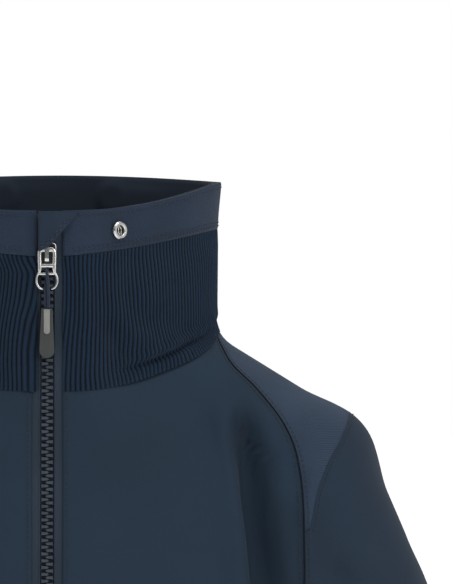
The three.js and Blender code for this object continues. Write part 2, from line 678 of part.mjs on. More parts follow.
function buildSlider() {
  const half = SLIDER_WIDTH / 2;
  const post = CHAIN_SLOT_HALF - POST_CLEARANCE;
  const back = CHAIN_FRONT + CHAIN_DEPTH + FIT;
  const outline = [
    [-half, -SLIDER_PLATE], [half, -SLIDER_PLATE], [half, 0], [post, 0],
    [post, back], [half, back], [half, back + SLIDER_PLATE], [-half, back + SLIDER_PLATE],
    [-half, back], [-post, back], [-post, 0], [-half, 0],
  ];
  const section = new THREE.Shape(outline.map(([x, y]) => new THREE.Vector2(x, y)));
  const body = new THREE.ExtrudeGeometry(section, { depth: SLIDER_LENGTH, bevelEnabled: false });
  body.translate(0, 0, SLIDER_AT - SLIDER_LENGTH / 2);
  addMesh("zip_slider", body, METAL, zip);
  addMesh("slider_crown", crown(), METAL, zip);
}

// An arch along the zip: the pull's top bar turns under it.
function crown() {
  const reach = CROWN_LENGTH / 2;
  const foot = SLIDER_PLATE + FIT;
  const top = foot + CROWN_RISE;
  const inner = reach - CROWN_WALL;
  const shape = new THREE.Shape();
  shape.moveTo(-reach, foot);
  shape.lineTo(-reach, top - 2);
  shape.quadraticCurveTo(-reach, top, -reach + 2, top);
  shape.lineTo(reach - 2, top);
  shape.quadraticCurveTo(reach, top, reach, top - 2);
  shape.lineTo(reach, foot);
  shape.lineTo(inner, foot);
  shape.lineTo(inner, top - CROWN_WALL - 0.4);
  shape.lineTo(inner - 0.4, top - CROWN_WALL);
  shape.lineTo(-inner + 0.4, top - CROWN_WALL);
  shape.lineTo(-inner, top - CROWN_WALL - 0.4);
  shape.lineTo(-inner, foot);
  const geometry = new THREE.ExtrudeGeometry(shape, {
    depth: CROWN_WIDTH, bevelEnabled: false, curveSegments: 4,
  });
  // The shape's X runs along the zip and its Y runs out of the cloth.
  const along = new THREE.Matrix4().makeBasis(point(0, 0, 1), point(0, -1, 0), point(1, 0, 0));
  return geometry.applyMatrix4(along).translate(-CROWN_WIDTH / 2, 0, SLIDER_AT);
}

function hole(x0, z0, x1, z1) {
  const path = new THREE.Path();
  path.moveTo(x0, z0);
  path.lineTo(x1, z0);
  path.lineTo(x1, z1);
  path.lineTo(x0, z1);
  return path;
}

// The pull hangs from its top bar. Two rails run down, two bars cross them, and below the bars the
// rails spread into a ring that is open at the bottom.
function pullShape() {
  const half = PULL_WIDTH / 2;
  const inner = half - PULL_RAIL;
  const ring = PULL_RING_WIDTH / 2;
  const bars = -LOWER_BAR_DROP - PULL_MID;
  const low = bars - PULL_RING_LENGTH;
  const gap = 2.4;
  const shape = new THREE.Shape();
  shape.moveTo(-half, PULL_MID - 1);
  shape.lineTo(-half + 1, PULL_MID);
  shape.lineTo(half - 1, PULL_MID);
  shape.lineTo(half, PULL_MID - 1);
  shape.lineTo(half, bars + 1);
  shape.bezierCurveTo(ring, bars - 1, ring, low + 3, gap + 1.6, low);
  shape.lineTo(gap, low + 1.6);
  shape.bezierCurveTo(ring - 2.6, low + 4, ring - 2.4, bars - 1.2, inner, bars);
  shape.lineTo(-inner, bars);
  shape.bezierCurveTo(-ring + 2.4, bars - 1.2, -ring + 2.6, low + 4, -gap, low + 1.6);
  shape.lineTo(-gap - 1.6, low);
  shape.bezierCurveTo(-ring, low + 3, -ring, bars - 1, -half, bars + 1);
  const slotLow = -PULL_MID - PULL_SLOT;
  shape.holes.push(hole(-inner, slotLow, inner, -PULL_MID));
  shape.holes.push(hole(-inner, bars + PULL_BAR, inner, slotLow - PULL_BAR));
  return shape;
}

// A loop of cord: down from behind the bar to the tab, and over the bar to the tab in front.
function cordPath(drop) {
  const turn = PULL_BAR / 2 + CORD_SLACK + CORD_RADIUS;
  const points = [];
  points.push(point(0, -turn, -drop));
  points.push(point(0, -turn, -drop / 2));
  for (let i = 0; i <= 6; i++) {
    const angle = (Math.PI * i) / 6;
    points.push(point(0, -turn * Math.cos(angle), turn * Math.sin(angle)));
  }
  points.push(point(0, turn, -drop / 2));
  points.push(point(0, turn, -drop));
  return new THREE.CatmullRomCurve3(points);
}

function circleShape(radius, sides) {
  const corners = steps(sides).slice(0, -1).map((t) => {
    const angle = t * 2 * Math.PI;
    return new THREE.Vector2(radius * Math.cos(angle), radius * Math.sin(angle));
  });
  return new THREE.Shape(corners);
}

function tabShape(topWidth, width, length) {
  const shape = new THREE.Shape();
  shape.moveTo(-topWidth / 2, 0);
  shape.lineTo(topWidth / 2, 0);
  shape.lineTo(width / 2, -length + width / 2);
  shape.absarc(0, -length + width / 2, width / 2, 0, -Math.PI, true);
  return shape;
}

function buildPull() {
  const pull = new THREE.Group();
  pull.position.set(0, -PULL_AXIS_OUT, PULL_AXIS_AT);
  zip.add(pull);
  addMesh("zip_pull", plate(pullShape(), -PULL_THICKNESS / 2, PULL_THICKNESS), METAL, pull);
  const tab = new THREE.Group();
  tab.position.set(0, 0, -LOWER_BAR_DROP);
  pull.add(tab);
  const cord = new THREE.ExtrudeGeometry(circleShape(CORD_RADIUS, 8), {
    steps: 26, extrudePath: cordPath(CORD_DROP - FIT), bevelEnabled: false,
  });
  addMesh("pull_cord", cord, CORD_CLOTH, tab);
  const grip = plate(tabShape(TAB_TOP_WIDTH, TAB_WIDTH, TAB_LENGTH), -TAB_THICKNESS / 2, TAB_THICKNESS);
  addMesh("pull_tab", grip.translate(0, 0, -CORD_DROP), TAB_RUBBER, tab);
  const inlayShape = tabShape(INLAY_WIDTH, INLAY_WIDTH, INLAY_LENGTH);
  const inlay = plate(inlayShape, -TAB_THICKNESS / 2 - FIT - INLAY_THICKNESS, INLAY_THICKNESS);
  addMesh("tab_inlay", inlay.translate(0, 0, -CORD_DROP - 0.5), INLAY_RUBBER, tab);
}

// A form that faces straight out of the zip everywhere.
const flatForm = (p) => -p.y;

// The garage is a three-cornered flap: its long edge runs down across the zip from the left.
function buildGarage() {
  const lift = PULL_AXIS_OUT + CROWN_RISE + 1;
  const top = COLLAR_FRONT_HEIGHT - 0.8;
  const rows = steps(4).map((t) => {
    const slant = t ** 0.8;
    return steps(8).map((u) => {
      const x = mix(-GARAGE_RIGHT, GARAGE_LEFT, u);
      const low = top - 3 - (GARAGE_HEIGHT - 3) * (1 - u) ** 1.25;
      const bulge = lift * Math.cos((ease(0, GARAGE_LEFT, x) * Math.PI) / 2) + GARAGE_CLOTH + FIT;
      return point(x, -bulge, mix(low, top, slant));
    });
  });
  addMesh("zip_garage", sheet(flatForm, rows, GARAGE_CLOTH, { gap: 0 }), BAND_CLOTH, zip);
}

// ---- Snaps for the hood -------------------------------------------------------------------------
const SNAP_OUTLINE = [
  [SNAP_HOLE, 0], [SNAP_RADIUS, 0], [SNAP_RADIUS, SNAP_HEIGHT - 0.7],
  [SNAP_RADIUS - 0.7, SNAP_HEIGHT], [SNAP_HOLE + 0.5, SNAP_HEIGHT],
  [SNAP_HOLE, SNAP_HEIGHT - 0.5], [SNAP_HOLE, 0],
];

// Points a lathe's +Y out of the cloth at a place on the collar.
function onCollar(mesh, turn, depth) {
  const z = topHeight(Math.min(turn, 360 - turn)) - SNAP_BELOW_EDGE;
  const at = around(wornForm, turn, z);
  const beside = around(wornForm, turn + 2, z).sub(around(wornForm, turn - 2, z));
  const above = around(wornForm, turn, z + 3).sub(around(wornForm, turn, z - 3));
  const outward = beside.cross(above).normalize();
  mesh.position.copy(at).addScaledVector(outward, -depth);
  mesh.quaternion.setFromUnitVectors(point(0, 1, 0), outward);
}

function buildSnaps() {
  const places = [
    ["front_left", SNAP_FRONT_TURN],
    ["front_right", 360 - SNAP_FRONT_TURN],
    ["back_left", SNAP_BACK_TURN],
    ["back_right", 360 - SNAP_BACK_TURN],
  ];
  const socket = new THREE.LatheGeometry(SNAP_OUTLINE.map(([r, y]) => new THREE.Vector2(r, y)), 20);
  const cap = new THREE.CylinderGeometry(SNAP_RADIUS, SNAP_RADIUS, 1, 16);
  for (const [name, turn] of places) {
    onCollar(addMesh(`hood_snap_${name}`, socket, METAL), turn, -0.6);
    const capDepth = NECK_LINING_DEPTH + LINING + 0.6 + 0.5;
    onCollar(addMesh(`snap_cap_${name}`, cap, METAL), turn, capDepth);
  }
}

// ---- Cuff tabs ----------------------------------------------------------------------------------
// A tab wraps the outside of a cuff. It is sewn down at its back end and pulls forward.
function cuffTabRows() {
  const out = CUFF_TAB_THICKNESS + 0.5;
  return steps(2).map((t) => {
    const z = CUFF_Z + CUFF_TAB_UP + t * CUFF_TAB_HEIGHT;
    const x = mix(CUFF_X, FOREARM[0], (z - CUFF_Z) / (FOREARM[1] - CUFF_Z));
    return steps(10).map((u) => {
      const turn = -(CUFF_TAB_TURN * 0.7) + CUFF_TAB_TURN * u;
      const direction = point(Math.cos(turn * RAD), Math.sin(turn * RAD), 0);
      const surface = strike(armForm, point(x, 0, z), direction);
      return surface.addScaledVector(direction, out);
    });
  });
}

function buildCuffTabs() {
  const rows = cuffTabRows();
  for (const [side, turned] of SIDES) {
    const tab = sheet(armForm, turned(rows), CUFF_TAB_THICKNESS, { gap: 0 });
    addMesh(`cuff_tab_${side}`, tab, SHELL_CLOTH);
  }
}

// ---- Hand pockets -------------------------------------------------------------------------------
// Each pocket's zip lies straight along the body's surface.
function pocketPlace(side) {
  const turn = side > 0 ? POCKET_TURN : 360 - POCKET_TURN;
  const top = around(trunkForm, turn, POCKET_TOP);
  const low = around(trunkForm, turn, POCKET_TOP - POCKET_LENGTH);
  const up = top.clone().sub(low).normalize();
  const beside = around(trunkForm, turn + 4, POCKET_TOP - POCKET_LENGTH / 2)
    .sub(around(trunkForm, turn - 4, POCKET_TOP - POCKET_LENGTH / 2))
    .normalize();
  const outward = beside.clone().cross(up).normalize();
  const across = up.clone().cross(outward);
  return { middle: top.clone().lerp(low, 0.5), across, outward, up };
}

function buildPockets() {
  const [sliderWide, sliderDeep, sliderLong] = POCKET_SLIDER;
  const [pullWide, pullThick, pullLong] = POCKET_PULL;
  for (const [name, side] of [["left", 1], ["right", -1]]) {
    const { middle, across, outward, up } = pocketPlace(side);
    const group = new THREE.Group();
    group.matrixAutoUpdate = false;
    group.matrix.makeBasis(across, outward.clone().negate(), up).setPosition(middle);
    jacket.add(group);
    const clear = -POCKET_ZIP_LIFT;
    const chain = block(
      -POCKET_ZIP_WIDTH / 2, clear - POCKET_ZIP_DEPTH, -POCKET_LENGTH / 2,
      POCKET_ZIP_WIDTH / 2, clear, POCKET_LENGTH / 2,
    );
    addMesh(`pocket_zip_${name}`, chain, TEETH_PLASTIC, group);
    const sliderBack = clear - POCKET_ZIP_DEPTH - FIT;
    const top = POCKET_LENGTH / 2 - 4;
    const slider = block(-sliderWide / 2, sliderBack - sliderDeep, top - sliderLong,
      sliderWide / 2, sliderBack, top);
    addMesh(`pocket_slider_${name}`, slider, METAL, group);
    const pullBack = sliderBack - sliderDeep - FIT;
    const pull = block(-pullWide / 2, pullBack - pullThick, top - 3 - pullLong, pullWide / 2, pullBack, top - 3);
    addMesh(`pocket_pull_${name}`, pull, TAB_RUBBER, group);
  }
}

// ---- Hanger loop, inside the collar at the back -------------------------------------------------
function buildHanger() {
  const z = SEAM_BACK_RISE + 12;
  const half = HANGER_SPAN / 2;
  const curve = (1 - (half / NECK_HALF_WIDTH) ** NECK_BACK_SHARPNESS) ** (1 / NECK_BACK_SHARPNESS);
  const lining = neckBack(z) * curve - NECK_LINING_DEPTH - LINING;
  const shape = new THREE.Shape(hole(-half, -HANGER_DROP, half, 0).getPoints());
  const slot = half - HANGER_WIDTH;
  shape.holes.push(hole(-slot, HANGER_WIDTH - HANGER_DROP, slot, -HANGER_WIDTH));
  const loop = plate(shape, lining - LAYER_GAP - HANGER_THICKNESS, HANGER_THICKNESS).translate(0, 0, z);
  addMesh("hanger_loop", loop, TAPE_CLOTH);
}

buildBody();
buildSleeves();
buildCollar();
buildZip();
buildSlider();
buildPull();
buildGarage();
buildSnaps();
buildCuffTabs();
buildPockets();
buildHanger();

export default jacket;
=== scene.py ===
"""The looks of a foul weather jacket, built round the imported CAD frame.

The cloth is shaped in millimetres from the same worn form as the CAD panels, with folds, ribs and seams
added, and becomes meshes in metres. Hardware keeps its CAD solid, with rounded edges, or is built finer in
the same place.
"""

import math

import bpy
import numpy as np
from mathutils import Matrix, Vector


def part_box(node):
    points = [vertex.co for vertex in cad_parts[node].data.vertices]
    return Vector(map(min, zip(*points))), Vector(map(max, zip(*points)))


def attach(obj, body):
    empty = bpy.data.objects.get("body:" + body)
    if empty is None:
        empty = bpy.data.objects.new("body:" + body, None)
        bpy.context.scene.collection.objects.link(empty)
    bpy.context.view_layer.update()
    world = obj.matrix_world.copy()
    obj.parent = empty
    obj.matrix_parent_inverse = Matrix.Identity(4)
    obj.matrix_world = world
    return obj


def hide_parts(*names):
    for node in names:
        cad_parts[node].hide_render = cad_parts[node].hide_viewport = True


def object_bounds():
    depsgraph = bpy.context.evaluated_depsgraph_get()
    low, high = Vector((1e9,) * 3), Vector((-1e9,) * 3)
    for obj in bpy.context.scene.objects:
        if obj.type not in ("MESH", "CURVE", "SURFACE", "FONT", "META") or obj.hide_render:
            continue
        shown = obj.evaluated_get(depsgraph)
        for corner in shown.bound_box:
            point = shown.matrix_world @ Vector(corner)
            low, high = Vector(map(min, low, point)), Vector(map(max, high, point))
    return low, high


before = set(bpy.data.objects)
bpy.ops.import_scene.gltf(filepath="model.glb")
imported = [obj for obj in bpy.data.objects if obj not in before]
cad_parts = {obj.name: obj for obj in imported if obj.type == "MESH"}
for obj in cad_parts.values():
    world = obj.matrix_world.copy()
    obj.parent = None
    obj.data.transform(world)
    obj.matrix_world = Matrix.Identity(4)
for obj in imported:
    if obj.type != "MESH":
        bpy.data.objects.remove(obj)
CAD_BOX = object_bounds()
MM = 0.001
SIDES = (("left", 1), ("right", -1))

# ---- Driving dimensions, in millimetres, as the CAD has them ----
NECK_HALF_WIDTH = 103
NECK_FRONT_DEPTH = 90
NECK_BACK_DEPTH = 72
NECK_FRONT_SHARPNESS = 1.65
NECK_BACK_SHARPNESS = 2.2
COLLAR_FRONT_HEIGHT = 110
COLLAR_SIDE_LIFT = 17.5
COLLAR_BACK_LIFT = 22
BAND_HEIGHT = 28
BAND_SIDE_HEIGHT = 29.5
SEAM_SIDE_RISE = 33
SEAM_BACK_RISE = 46
CUFF = (272, -570)
CUFF_RADIUS = 35
FOREARM = (252, -400)
FOREARM_RADIUS = 42
PAST_CUFF = 1.35
SLEEVE_FLATNESS = 0.75
HEM_Z = -640
CHEST_HALF_WIDTH = 164
HEM_HALF_WIDTH = 178
BACK_DEPTH = 118
HEM_BACK_DEPTH = 122
ZIP_LEAN = 0.045
UNDERARM_X = 168
BODY_SHARPNESS = 2.3
NECK_MELT = 8
ARM_MELT = 12
SHOULDER_MELT = 8
ARMPIT_MELT = 30
SIDE_MELT = 1.5
FRONT_EDGE = 9.5
FLAT_HALF_WIDTH = 18
SHELL = 1.2
LINING = 1.0
BODY_LINING_DEPTH = 3.2
POCKET_CLOTH_THICKNESS = 1.2
POCKET_GAP = 0.4
NECK_LINING_DEPTH = 2.4
SLEEVE_LINING_DEPTH = 1.6
RAGLAN_FRONT_TURN = 82
RAGLAN_BACK_TURN = 106
RAGLAN_LINE = (
    (111.3, 15.6), (127.5, -0.6), (145.3, -23.9), (153.4, -46.7),
    (157, -88), (158.5, -130), (161, -165), (165, -197),
)  # fmt: skip
RAGLAN_TIP = 5
SLEEVE_SEAM_LINE = ((160, -88), (165, -64), (172, -46), (179, -34))


# ---- Small numeric helpers ----
def ease(low, high, value):
    t = np.clip((value - low) / (high - low), 0, 1)
    return t * t * (3 - 2 * t)


def mix(a, b, t):
    return a + (b - a) * t


def unit(v):
    return v / np.maximum(np.linalg.norm(v, axis=-1, keepdims=True), 1e-12)


def profile(stations):
    """A value that changes smoothly with height, through (height, value) stations."""
    z, v = (np.array(column, float) for column in zip(*stations))
    last = len(z) - 1
    high, low = np.minimum(np.arange(last + 1) + 1, last), np.maximum(np.arange(last + 1) - 1, 0)
    slope = (v[high] - v[low]) / (z[high] - z[low])

    def at(height):
        h = np.clip(height, z[0], z[-1])
        i = np.clip(np.searchsorted(z, h, side="right") - 1, 0, last - 1)
        span = z[i + 1] - z[i]
        t = (h - z[i]) / span
        bulge = slope[i] * (1 - t) - slope[i + 1] * t
        return mix(v[i], v[i + 1], t * t * (3 - 2 * t)) + bulge * span * t * (1 - t)

    return at


def cubic(a, b, c, d, t):
    """The Catmull-Rom curve from b to c, with a before and d after them."""
    return 0.5 * (2 * b + (c - a) * t + (2 * a - 5 * b + 4 * c - d) * t**2 + (3 * b - a - 3 * c + d) * t**3)


def smooth_line(points, per_span):
    """A Catmull-Rom curve through the points, with per_span samples to each span."""
    p = np.array(points, float)
    p = np.vstack([2 * p[0] - p[1], p, 2 * p[-1] - p[-2]])
    t = np.arange(per_span)[:, None] / per_span
    spans = [cubic(*ends, t) for ends in zip(p[:-3], p[1:-2], p[2:-1], p[3:])]
    return np.vstack([*spans, p[-2:-1]])


def evenly(points, count):
    """The same line with count points at equal distances."""
    p = np.array(points, float)
    at = np.concatenate([[0], np.cumsum(np.linalg.norm(np.diff(p, axis=0), axis=1))])
    want = np.linspace(0, at[-1], count)
    return np.stack([np.interp(want, at, p[:, k]) for k in range(p.shape[1])], axis=-1)


def length_of(points):
    return float(np.linalg.norm(np.diff(points, axis=0), axis=1).sum())


def refine(grid, rows, columns):
    """A grid of points resampled to rows by columns with cubic curves."""

    def along(values, count):
        n = len(values)
        s = np.linspace(0, n - 1, count)
        i = np.clip(s.astype(int), 0, n - 2)
        t = (s - i).reshape(-1, *[1] * (values.ndim - 1))
        return cubic(*(values[np.clip(i + k, 0, n - 1)] for k in (-1, 0, 1, 2)), t)

    tall = along(grid, rows)
    return along(tall.swapaxes(0, 1), columns).swapaxes(0, 1)


WAVES = np.random.default_rng(7).normal(size=(5, 10, 4))


def noise(p, wavelength, layer=0):
    """Smooth noise of about -1 to 1 from a few crossing waves."""
    total = 0
    for kx, ky, kz, phase in WAVES[layer]:
        k = np.array([kx, ky, kz]) / np.linalg.norm([kx, ky, kz])
        total = total + np.sin(p @ k * (2 * math.pi / wavelength) * (0.7 + 0.2 * abs(phase)) + phase * 9)
    return total / 4


# ---- The worn form ----
def zip_depth(z):
    return NECK_FRONT_DEPTH + ZIP_LEAN * (COLLAR_FRONT_HEIGHT - z)


neck_back = profile((
    (0, NECK_BACK_DEPTH + 12),
    (SEAM_BACK_RISE, NECK_BACK_DEPTH + 1),
    (COLLAR_FRONT_HEIGHT + COLLAR_BACK_LIFT, NECK_BACK_DEPTH),
))  # fmt: skip
body_half_width = profile((
    (HEM_Z, HEM_HALF_WIDTH),
    (-450, CHEST_HALF_WIDTH + 5),
    (-300, CHEST_HALF_WIDTH + 2),
    (-220, CHEST_HALF_WIDTH),
    (-160, CHEST_HALF_WIDTH - 6),
    (-100, CHEST_HALF_WIDTH - 18),
    (-50, CHEST_HALF_WIDTH - 38),
    (0, CHEST_HALF_WIDTH - 72),
    (40, 40),
))
body_back = profile((
    (HEM_Z, HEM_BACK_DEPTH),
    (-400, BACK_DEPTH - 5),
    (-250, BACK_DEPTH + 1),
    (-150, BACK_DEPTH),
    (-60, BACK_DEPTH - 11),
    (0, BACK_DEPTH - 32),
    (50, 50),
))
body_front = profile(((HEM_Z, zip_depth(HEM_Z)), (-100, zip_depth(-100)), (0, zip_depth(0) - 4), (40, 50)))


def tube_distance(p, half_width, depth, sharpness):
    across = np.abs(p[..., 0] / half_width) ** sharpness
    along = np.abs(p[..., 1] / depth) ** sharpness
    return ((across + along) ** (1 / sharpness) - 1) * np.minimum(half_width, depth)


def neck_form(p):
    front = p[..., 1] < 0
    top = COLLAR_FRONT_HEIGHT
    widening = 2.5 * ease(top - 10, top + COLLAR_BACK_LIFT, p[..., 2])
    depth = np.where(front, zip_depth(p[..., 2]), neck_back(p[..., 2]))
    sharpness = np.where(front, NECK_FRONT_SHARPNESS, NECK_BACK_SHARPNESS)
    return tube_distance(p, NECK_HALF_WIDTH + widening, depth, sharpness)


def body_form(p):
    depth = np.where(p[..., 1] < 0, body_front(p[..., 2]), body_back(p[..., 2]))
    return tube_distance(p, body_half_width(p[..., 2]), depth, BODY_SHARPNESS)


ARM_STATIONS = (
    ((40, 12), 49),
    ((163.3, -51.3), 38),
    ((188, -150), 50),
    ((224, -265), 47),
    (FOREARM, FOREARM_RADIUS),
    (
        (mix(FOREARM[0], CUFF[0], PAST_CUFF), mix(FOREARM[1], CUFF[1], PAST_CUFF)),
        mix(FOREARM_RADIUS, CUFF_RADIUS, PAST_CUFF),
    ),
)


def soft_min(a, b, reach):
    h = np.maximum(reach - np.abs(a - b), 0) / reach
    return np.minimum(a, b) - h * h * reach / 4


def arm_form(p):
    x, y, z = np.abs(p[..., 0]), p[..., 1] * SLEEVE_FLATNESS, p[..., 2]
    nearest = np.full(x.shape, 1e4)
    for ((ax, az), ra), ((bx, bz), rb) in zip(ARM_STATIONS, ARM_STATIONS[1:]):
        along = ((x - ax) * (bx - ax) + (z - az) * (bz - az)) / ((bx - ax) ** 2 + (bz - az) ** 2)
        t = np.clip(along, 0, 1)
        away = np.sqrt((x - mix(ax, bx, t)) ** 2 + y**2 + (z - mix(az, bz, t)) ** 2)
        nearest = soft_min(nearest, away - mix(ra, rb, t), ARM_MELT)
    return nearest


def worn_form(p):
    trunk = soft_min(neck_form(p), body_form(p), NECK_MELT)
    armpit = mix(SIDE_MELT, ARMPIT_MELT, ease(-235, -120, p[..., 2]))
    return soft_min(trunk, arm_form(p), mix(armpit, SHOULDER_MELT, ease(-70, -20, p[..., 2])))


def strike(form, start, direction, step=4.0, count=80):
    """Walks from start along direction to where the form changes sign."""
    start, direction = np.broadcast_arrays(np.array(start, float), np.array(direction, float))
    inside = form(start) < 0
    far = np.zeros(start.shape[:-1])
    walking = np.ones(far.shape, bool)
    for _ in range(count):
        walking &= (form(start + direction * far[..., None]) < 0) == inside
        if not walking.any():
            break
        far = np.where(walking, far + step, far)
    low, high = far - step, far
    for _ in range(18):
        middle = (low + high) / 2
        same = (form(start + direction * middle[..., None]) < 0) == inside
        low, high = np.where(same, middle, low), np.where(same, high, middle)
    return start + direction * high[..., None]


def slope_of(form, p):
    step = 0.05
    columns = []
    for k in range(3):
        shift = np.zeros(3)
        shift[k] = step
        columns.append((form(p + shift) - form(p - shift)) / (2 * step))
    return np.stack(columns, axis=-1)


def settle(form, p):
    p = np.array(p, float)
    for _ in range(8):
        slope = slope_of(form, p)
        p = p - slope * (form(p) / (slope**2).sum(-1))[..., None]
    return p


UNDERARM = strike(worn_form, (UNDERARM_X, 0, -262), (0, 0, 1))


def trunk_form(p):
    return np.where(p[..., 2] < UNDERARM[2], body_form(p), worn_form(p))


def sleeve_form(p):
    return np.where(p[..., 2] < UNDERARM[2], arm_form(p), worn_form(p))


def press_flat(p):
    """Both front edges lie in one plane with the zip."""
    flat = mix(-zip_depth(p[..., 2]), p[..., 1], ease(FLAT_HALF_WIDTH, 50, np.abs(p[..., 0])))
    return np.stack([p[..., 0], np.where(p[..., 1] < 0, flat, p[..., 1]), p[..., 2]], axis=-1)


ZIP_OUTWARD = unit(np.array([0, -1, ZIP_LEAN]))


def outward_at(form, p):
    outward = unit(slope_of(form, p))
    curved = np.where(p[..., 1] < 0, ease(FLAT_HALF_WIDTH, 50, np.abs(p[..., 0])), 1)
    return unit(mix(ZIP_OUTWARD, outward, curved[..., None]))


def around(form, turn, z):
    """The surface straight out from the neck's axis, at degrees from the zip towards the left."""
    turn, z = np.broadcast_arrays(np.radians(turn), np.array(z, float))
    direction = np.stack([np.sin(turn), -np.cos(turn), 0 * turn], axis=-1)
    start = np.stack([0 * z, 0 * z, z], axis=-1)
    return press_flat(strike(form, start, direction))


def turn_of(p):
    return np.degrees(np.arctan2(p[..., 0], -p[..., 1]))


def edge_turn(z, x=FRONT_EDGE):
    return np.degrees(np.arctan2(x, zip_depth(z)))


# ---- Seam lines ----
def across_neck(turn):
    x, y = np.abs(np.sin(np.radians(turn))), np.abs(np.cos(np.radians(turn)))
    front = turn < 90
    power = np.where(front, NECK_FRONT_SHARPNESS, NECK_BACK_SHARPNESS)
    depth = np.where(front, NECK_FRONT_DEPTH, NECK_BACK_DEPTH)
    size = ((x / NECK_HALF_WIDTH) ** power + (y / depth) ** power) ** (1 / power)
    return x / NECK_HALF_WIDTH / size


def neck_height(turn, base, side, power, back):
    near = np.minimum(turn, 360 - np.asarray(turn, float))
    across = across_neck(near)
    return base + np.where(near <= 90, side * across**power, mix(back, side, across**2))


def seam_height(turn):
    return neck_height(turn, 0, SEAM_SIDE_RISE, 2.6, SEAM_BACK_RISE)


def top_height(turn):
    return neck_height(turn, COLLAR_FRONT_HEIGHT, COLLAR_SIDE_LIFT, 2.6, COLLAR_BACK_LIFT)


def band_height(turn):
    more = BAND_HEIGHT - BAND_SIDE_HEIGHT
    base = COLLAR_FRONT_HEIGHT - BAND_HEIGHT
    return neck_height(turn, base, COLLAR_SIDE_LIFT + more, 1.6, COLLAR_BACK_LIFT + more)


def across_at(x, z, side):
    """The surface met from the front (side -1) or the back (side 1) at x, z."""
    x, z = np.broadcast_arrays(np.array(x, float), np.array(z, float))
    start = np.stack([x, np.full(x.shape, side * 260.0), z], axis=-1)
    return strike(worn_form, start, (0, -side, 0))


def raglan_seam(side):
    corner = RAGLAN_FRONT_TURN if side < 0 else RAGLAN_BACK_TURN
    x, z = np.array(RAGLAN_LINE).T
    return np.vstack([around(worn_form, corner, seam_height(corner)), across_at(x, z, side), UNDERARM])


RAGLAN = {-1: raglan_seam(-1), 1: raglan_seam(1)}


def half_sleeve_seam(side):
    x, z = np.array(SLEEVE_SEAM_LINE).T
    return across_at(x, z, side)


SLEEVE_SEAM = np.vstack([
    half_sleeve_seam(-1),
    settle(worn_form, [(186, -16, -19), (186, 16, -19)]),
    half_sleeve_seam(1)[::-1],
])  # fmt: skip


# ---- Folds ----
# Each fold is a line on the cloth, (x, z) seen from one side, with its width and depth at both ends.
FRONT_FOLDS = (
    (
        ((116, -6), (118, -20), (122, -40), (126, -66), (130, -98), (133, -130), (134, -165), (131, -205)),
        (5, 12), (9, 16),
    ),
    (((98, -60), (101, -95), (106, -130), (114, -165), (124, -200)), (11, 9), (0.5, 4)),
    (((64, -120), (84, -155), (104, -190), (124, -215)), (13, 10), (0.3, 3)),
    (((120, -250), (112, -300), (109, -330)), (14, 11), (3, 1)),
    (((138, -230), (134, -320), (139, -440), (146, -560), (149, -640)), (15, 19), (1.5, 7)),
    (((78, -330), (70, -430), (73, -540), (76, -640)), (20, 24), (0.5, 5)),
    (((38, -480), (42, -560), (40, -640)), (17, 21), (0.3, 3.5)),
    (((105, -520), (108, -580), (112, -640)), (14, 18), (0.5, 4)),
)
BACK_FOLDS = (
    (((128, -30), (126, -75), (131, -125), (144, -170)), (9, 11), (1, 7)),
    (((88, -70), (98, -120), (116, -160), (138, -190)), (14, 11), (0.5, 5)),
    (((132, -230), (126, -330), (134, -460), (144, -640)), (17, 21), (2, 8)),
    (((62, -260), (54, -380), (60, -500), (66, -640)), (21, 26), (0.5, 6)),
    (((8, -330), (4, -470), (10, -640)), (22, 27), (0.4, 5)),
)
SLEEVE_FOLDS = (
    (((168, -100), (184, -122), (203, -134), (222, -138)), (8, 7), (4, 0.8)),
    (((170, -140), (186, -160), (206, -171), (230, -174)), (9, 8), (5.5, 0.8)),
    (((176, -182), (194, -200), (214, -208), (236, -206)), (9, 8), (5, 0.6)),
    (((186, -236), (204, -246), (224, -250), (250, -246)), (9, 8), (5.5, 1)),
    (((190, -268), (208, -272), (230, -274), (258, -282)), (8, 8), (6, 1)),
    (((198, -300), (216, -304), (240, -298), (262, -286)), (9, 8), (5, 1)),
    (((206, -350), (226, -372), (248, -384), (272, -388)), (11, 9), (3.5, 0.6)),
    (((222, -430), (240, -448), (262, -454), (286, -450)), (9, 8), (3.6, 0.8)),
    (((230, -486), (248, -498), (270, -502), (294, -496)), (8, 7), (4, 1)),
    (((236, -520), (254, -528), (276, -528), (298, -522)), (7, 7), (3, 1)),
)


def lay_fold(line, side, mirror):
    x, z = smooth_line(line, 8).T
    p = across_at(x, z, side)
    p[:, 0] *= mirror
    return p


POCKET = np.array(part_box("pocket_zip_left")) / MM
POCKET_ZIP_LOW, POCKET_ZIP_TOP = (np.array([*POCKET.mean(0)[:2], z]) for z in POCKET[:, 2])

HEM_FOLD_WIDTH = 15  # folds this wide run on into the hem, and narrower ones fade out
MIRROR_SHIFT = 5  # the right side's folds lie this much higher or lower, and are a little shallower
MIRROR_GAIN = 0.85
BACK_SLEEVE_GAIN = 0.6

FOLDS = []
for _lines, _side in ((FRONT_FOLDS, -1), (BACK_FOLDS, 1), (SLEEVE_FOLDS, -1), (SLEEVE_FOLDS, 1)):
    for _number, (_line, _widths, _depths) in enumerate(_lines):
        for _mirror in (1, -1):
            _shift = 0 if _mirror > 0 else MIRROR_SHIFT * math.sin(_number * 2.4)
            _moved = [(x, z + _shift * ease(0, 80, -z)) for x, z in _line]
            _gain = 1 if _mirror > 0 else MIRROR_GAIN
            if _lines is SLEEVE_FOLDS and _side > 0:
                _gain *= BACK_SLEEVE_GAIN
            FOLDS.append((lay_fold(_moved, _side, _mirror), _widths, _depths, _gain))


CALM_REACH = (11, 34)  # folds are gone this near a pocket's zip, and whole again this far off


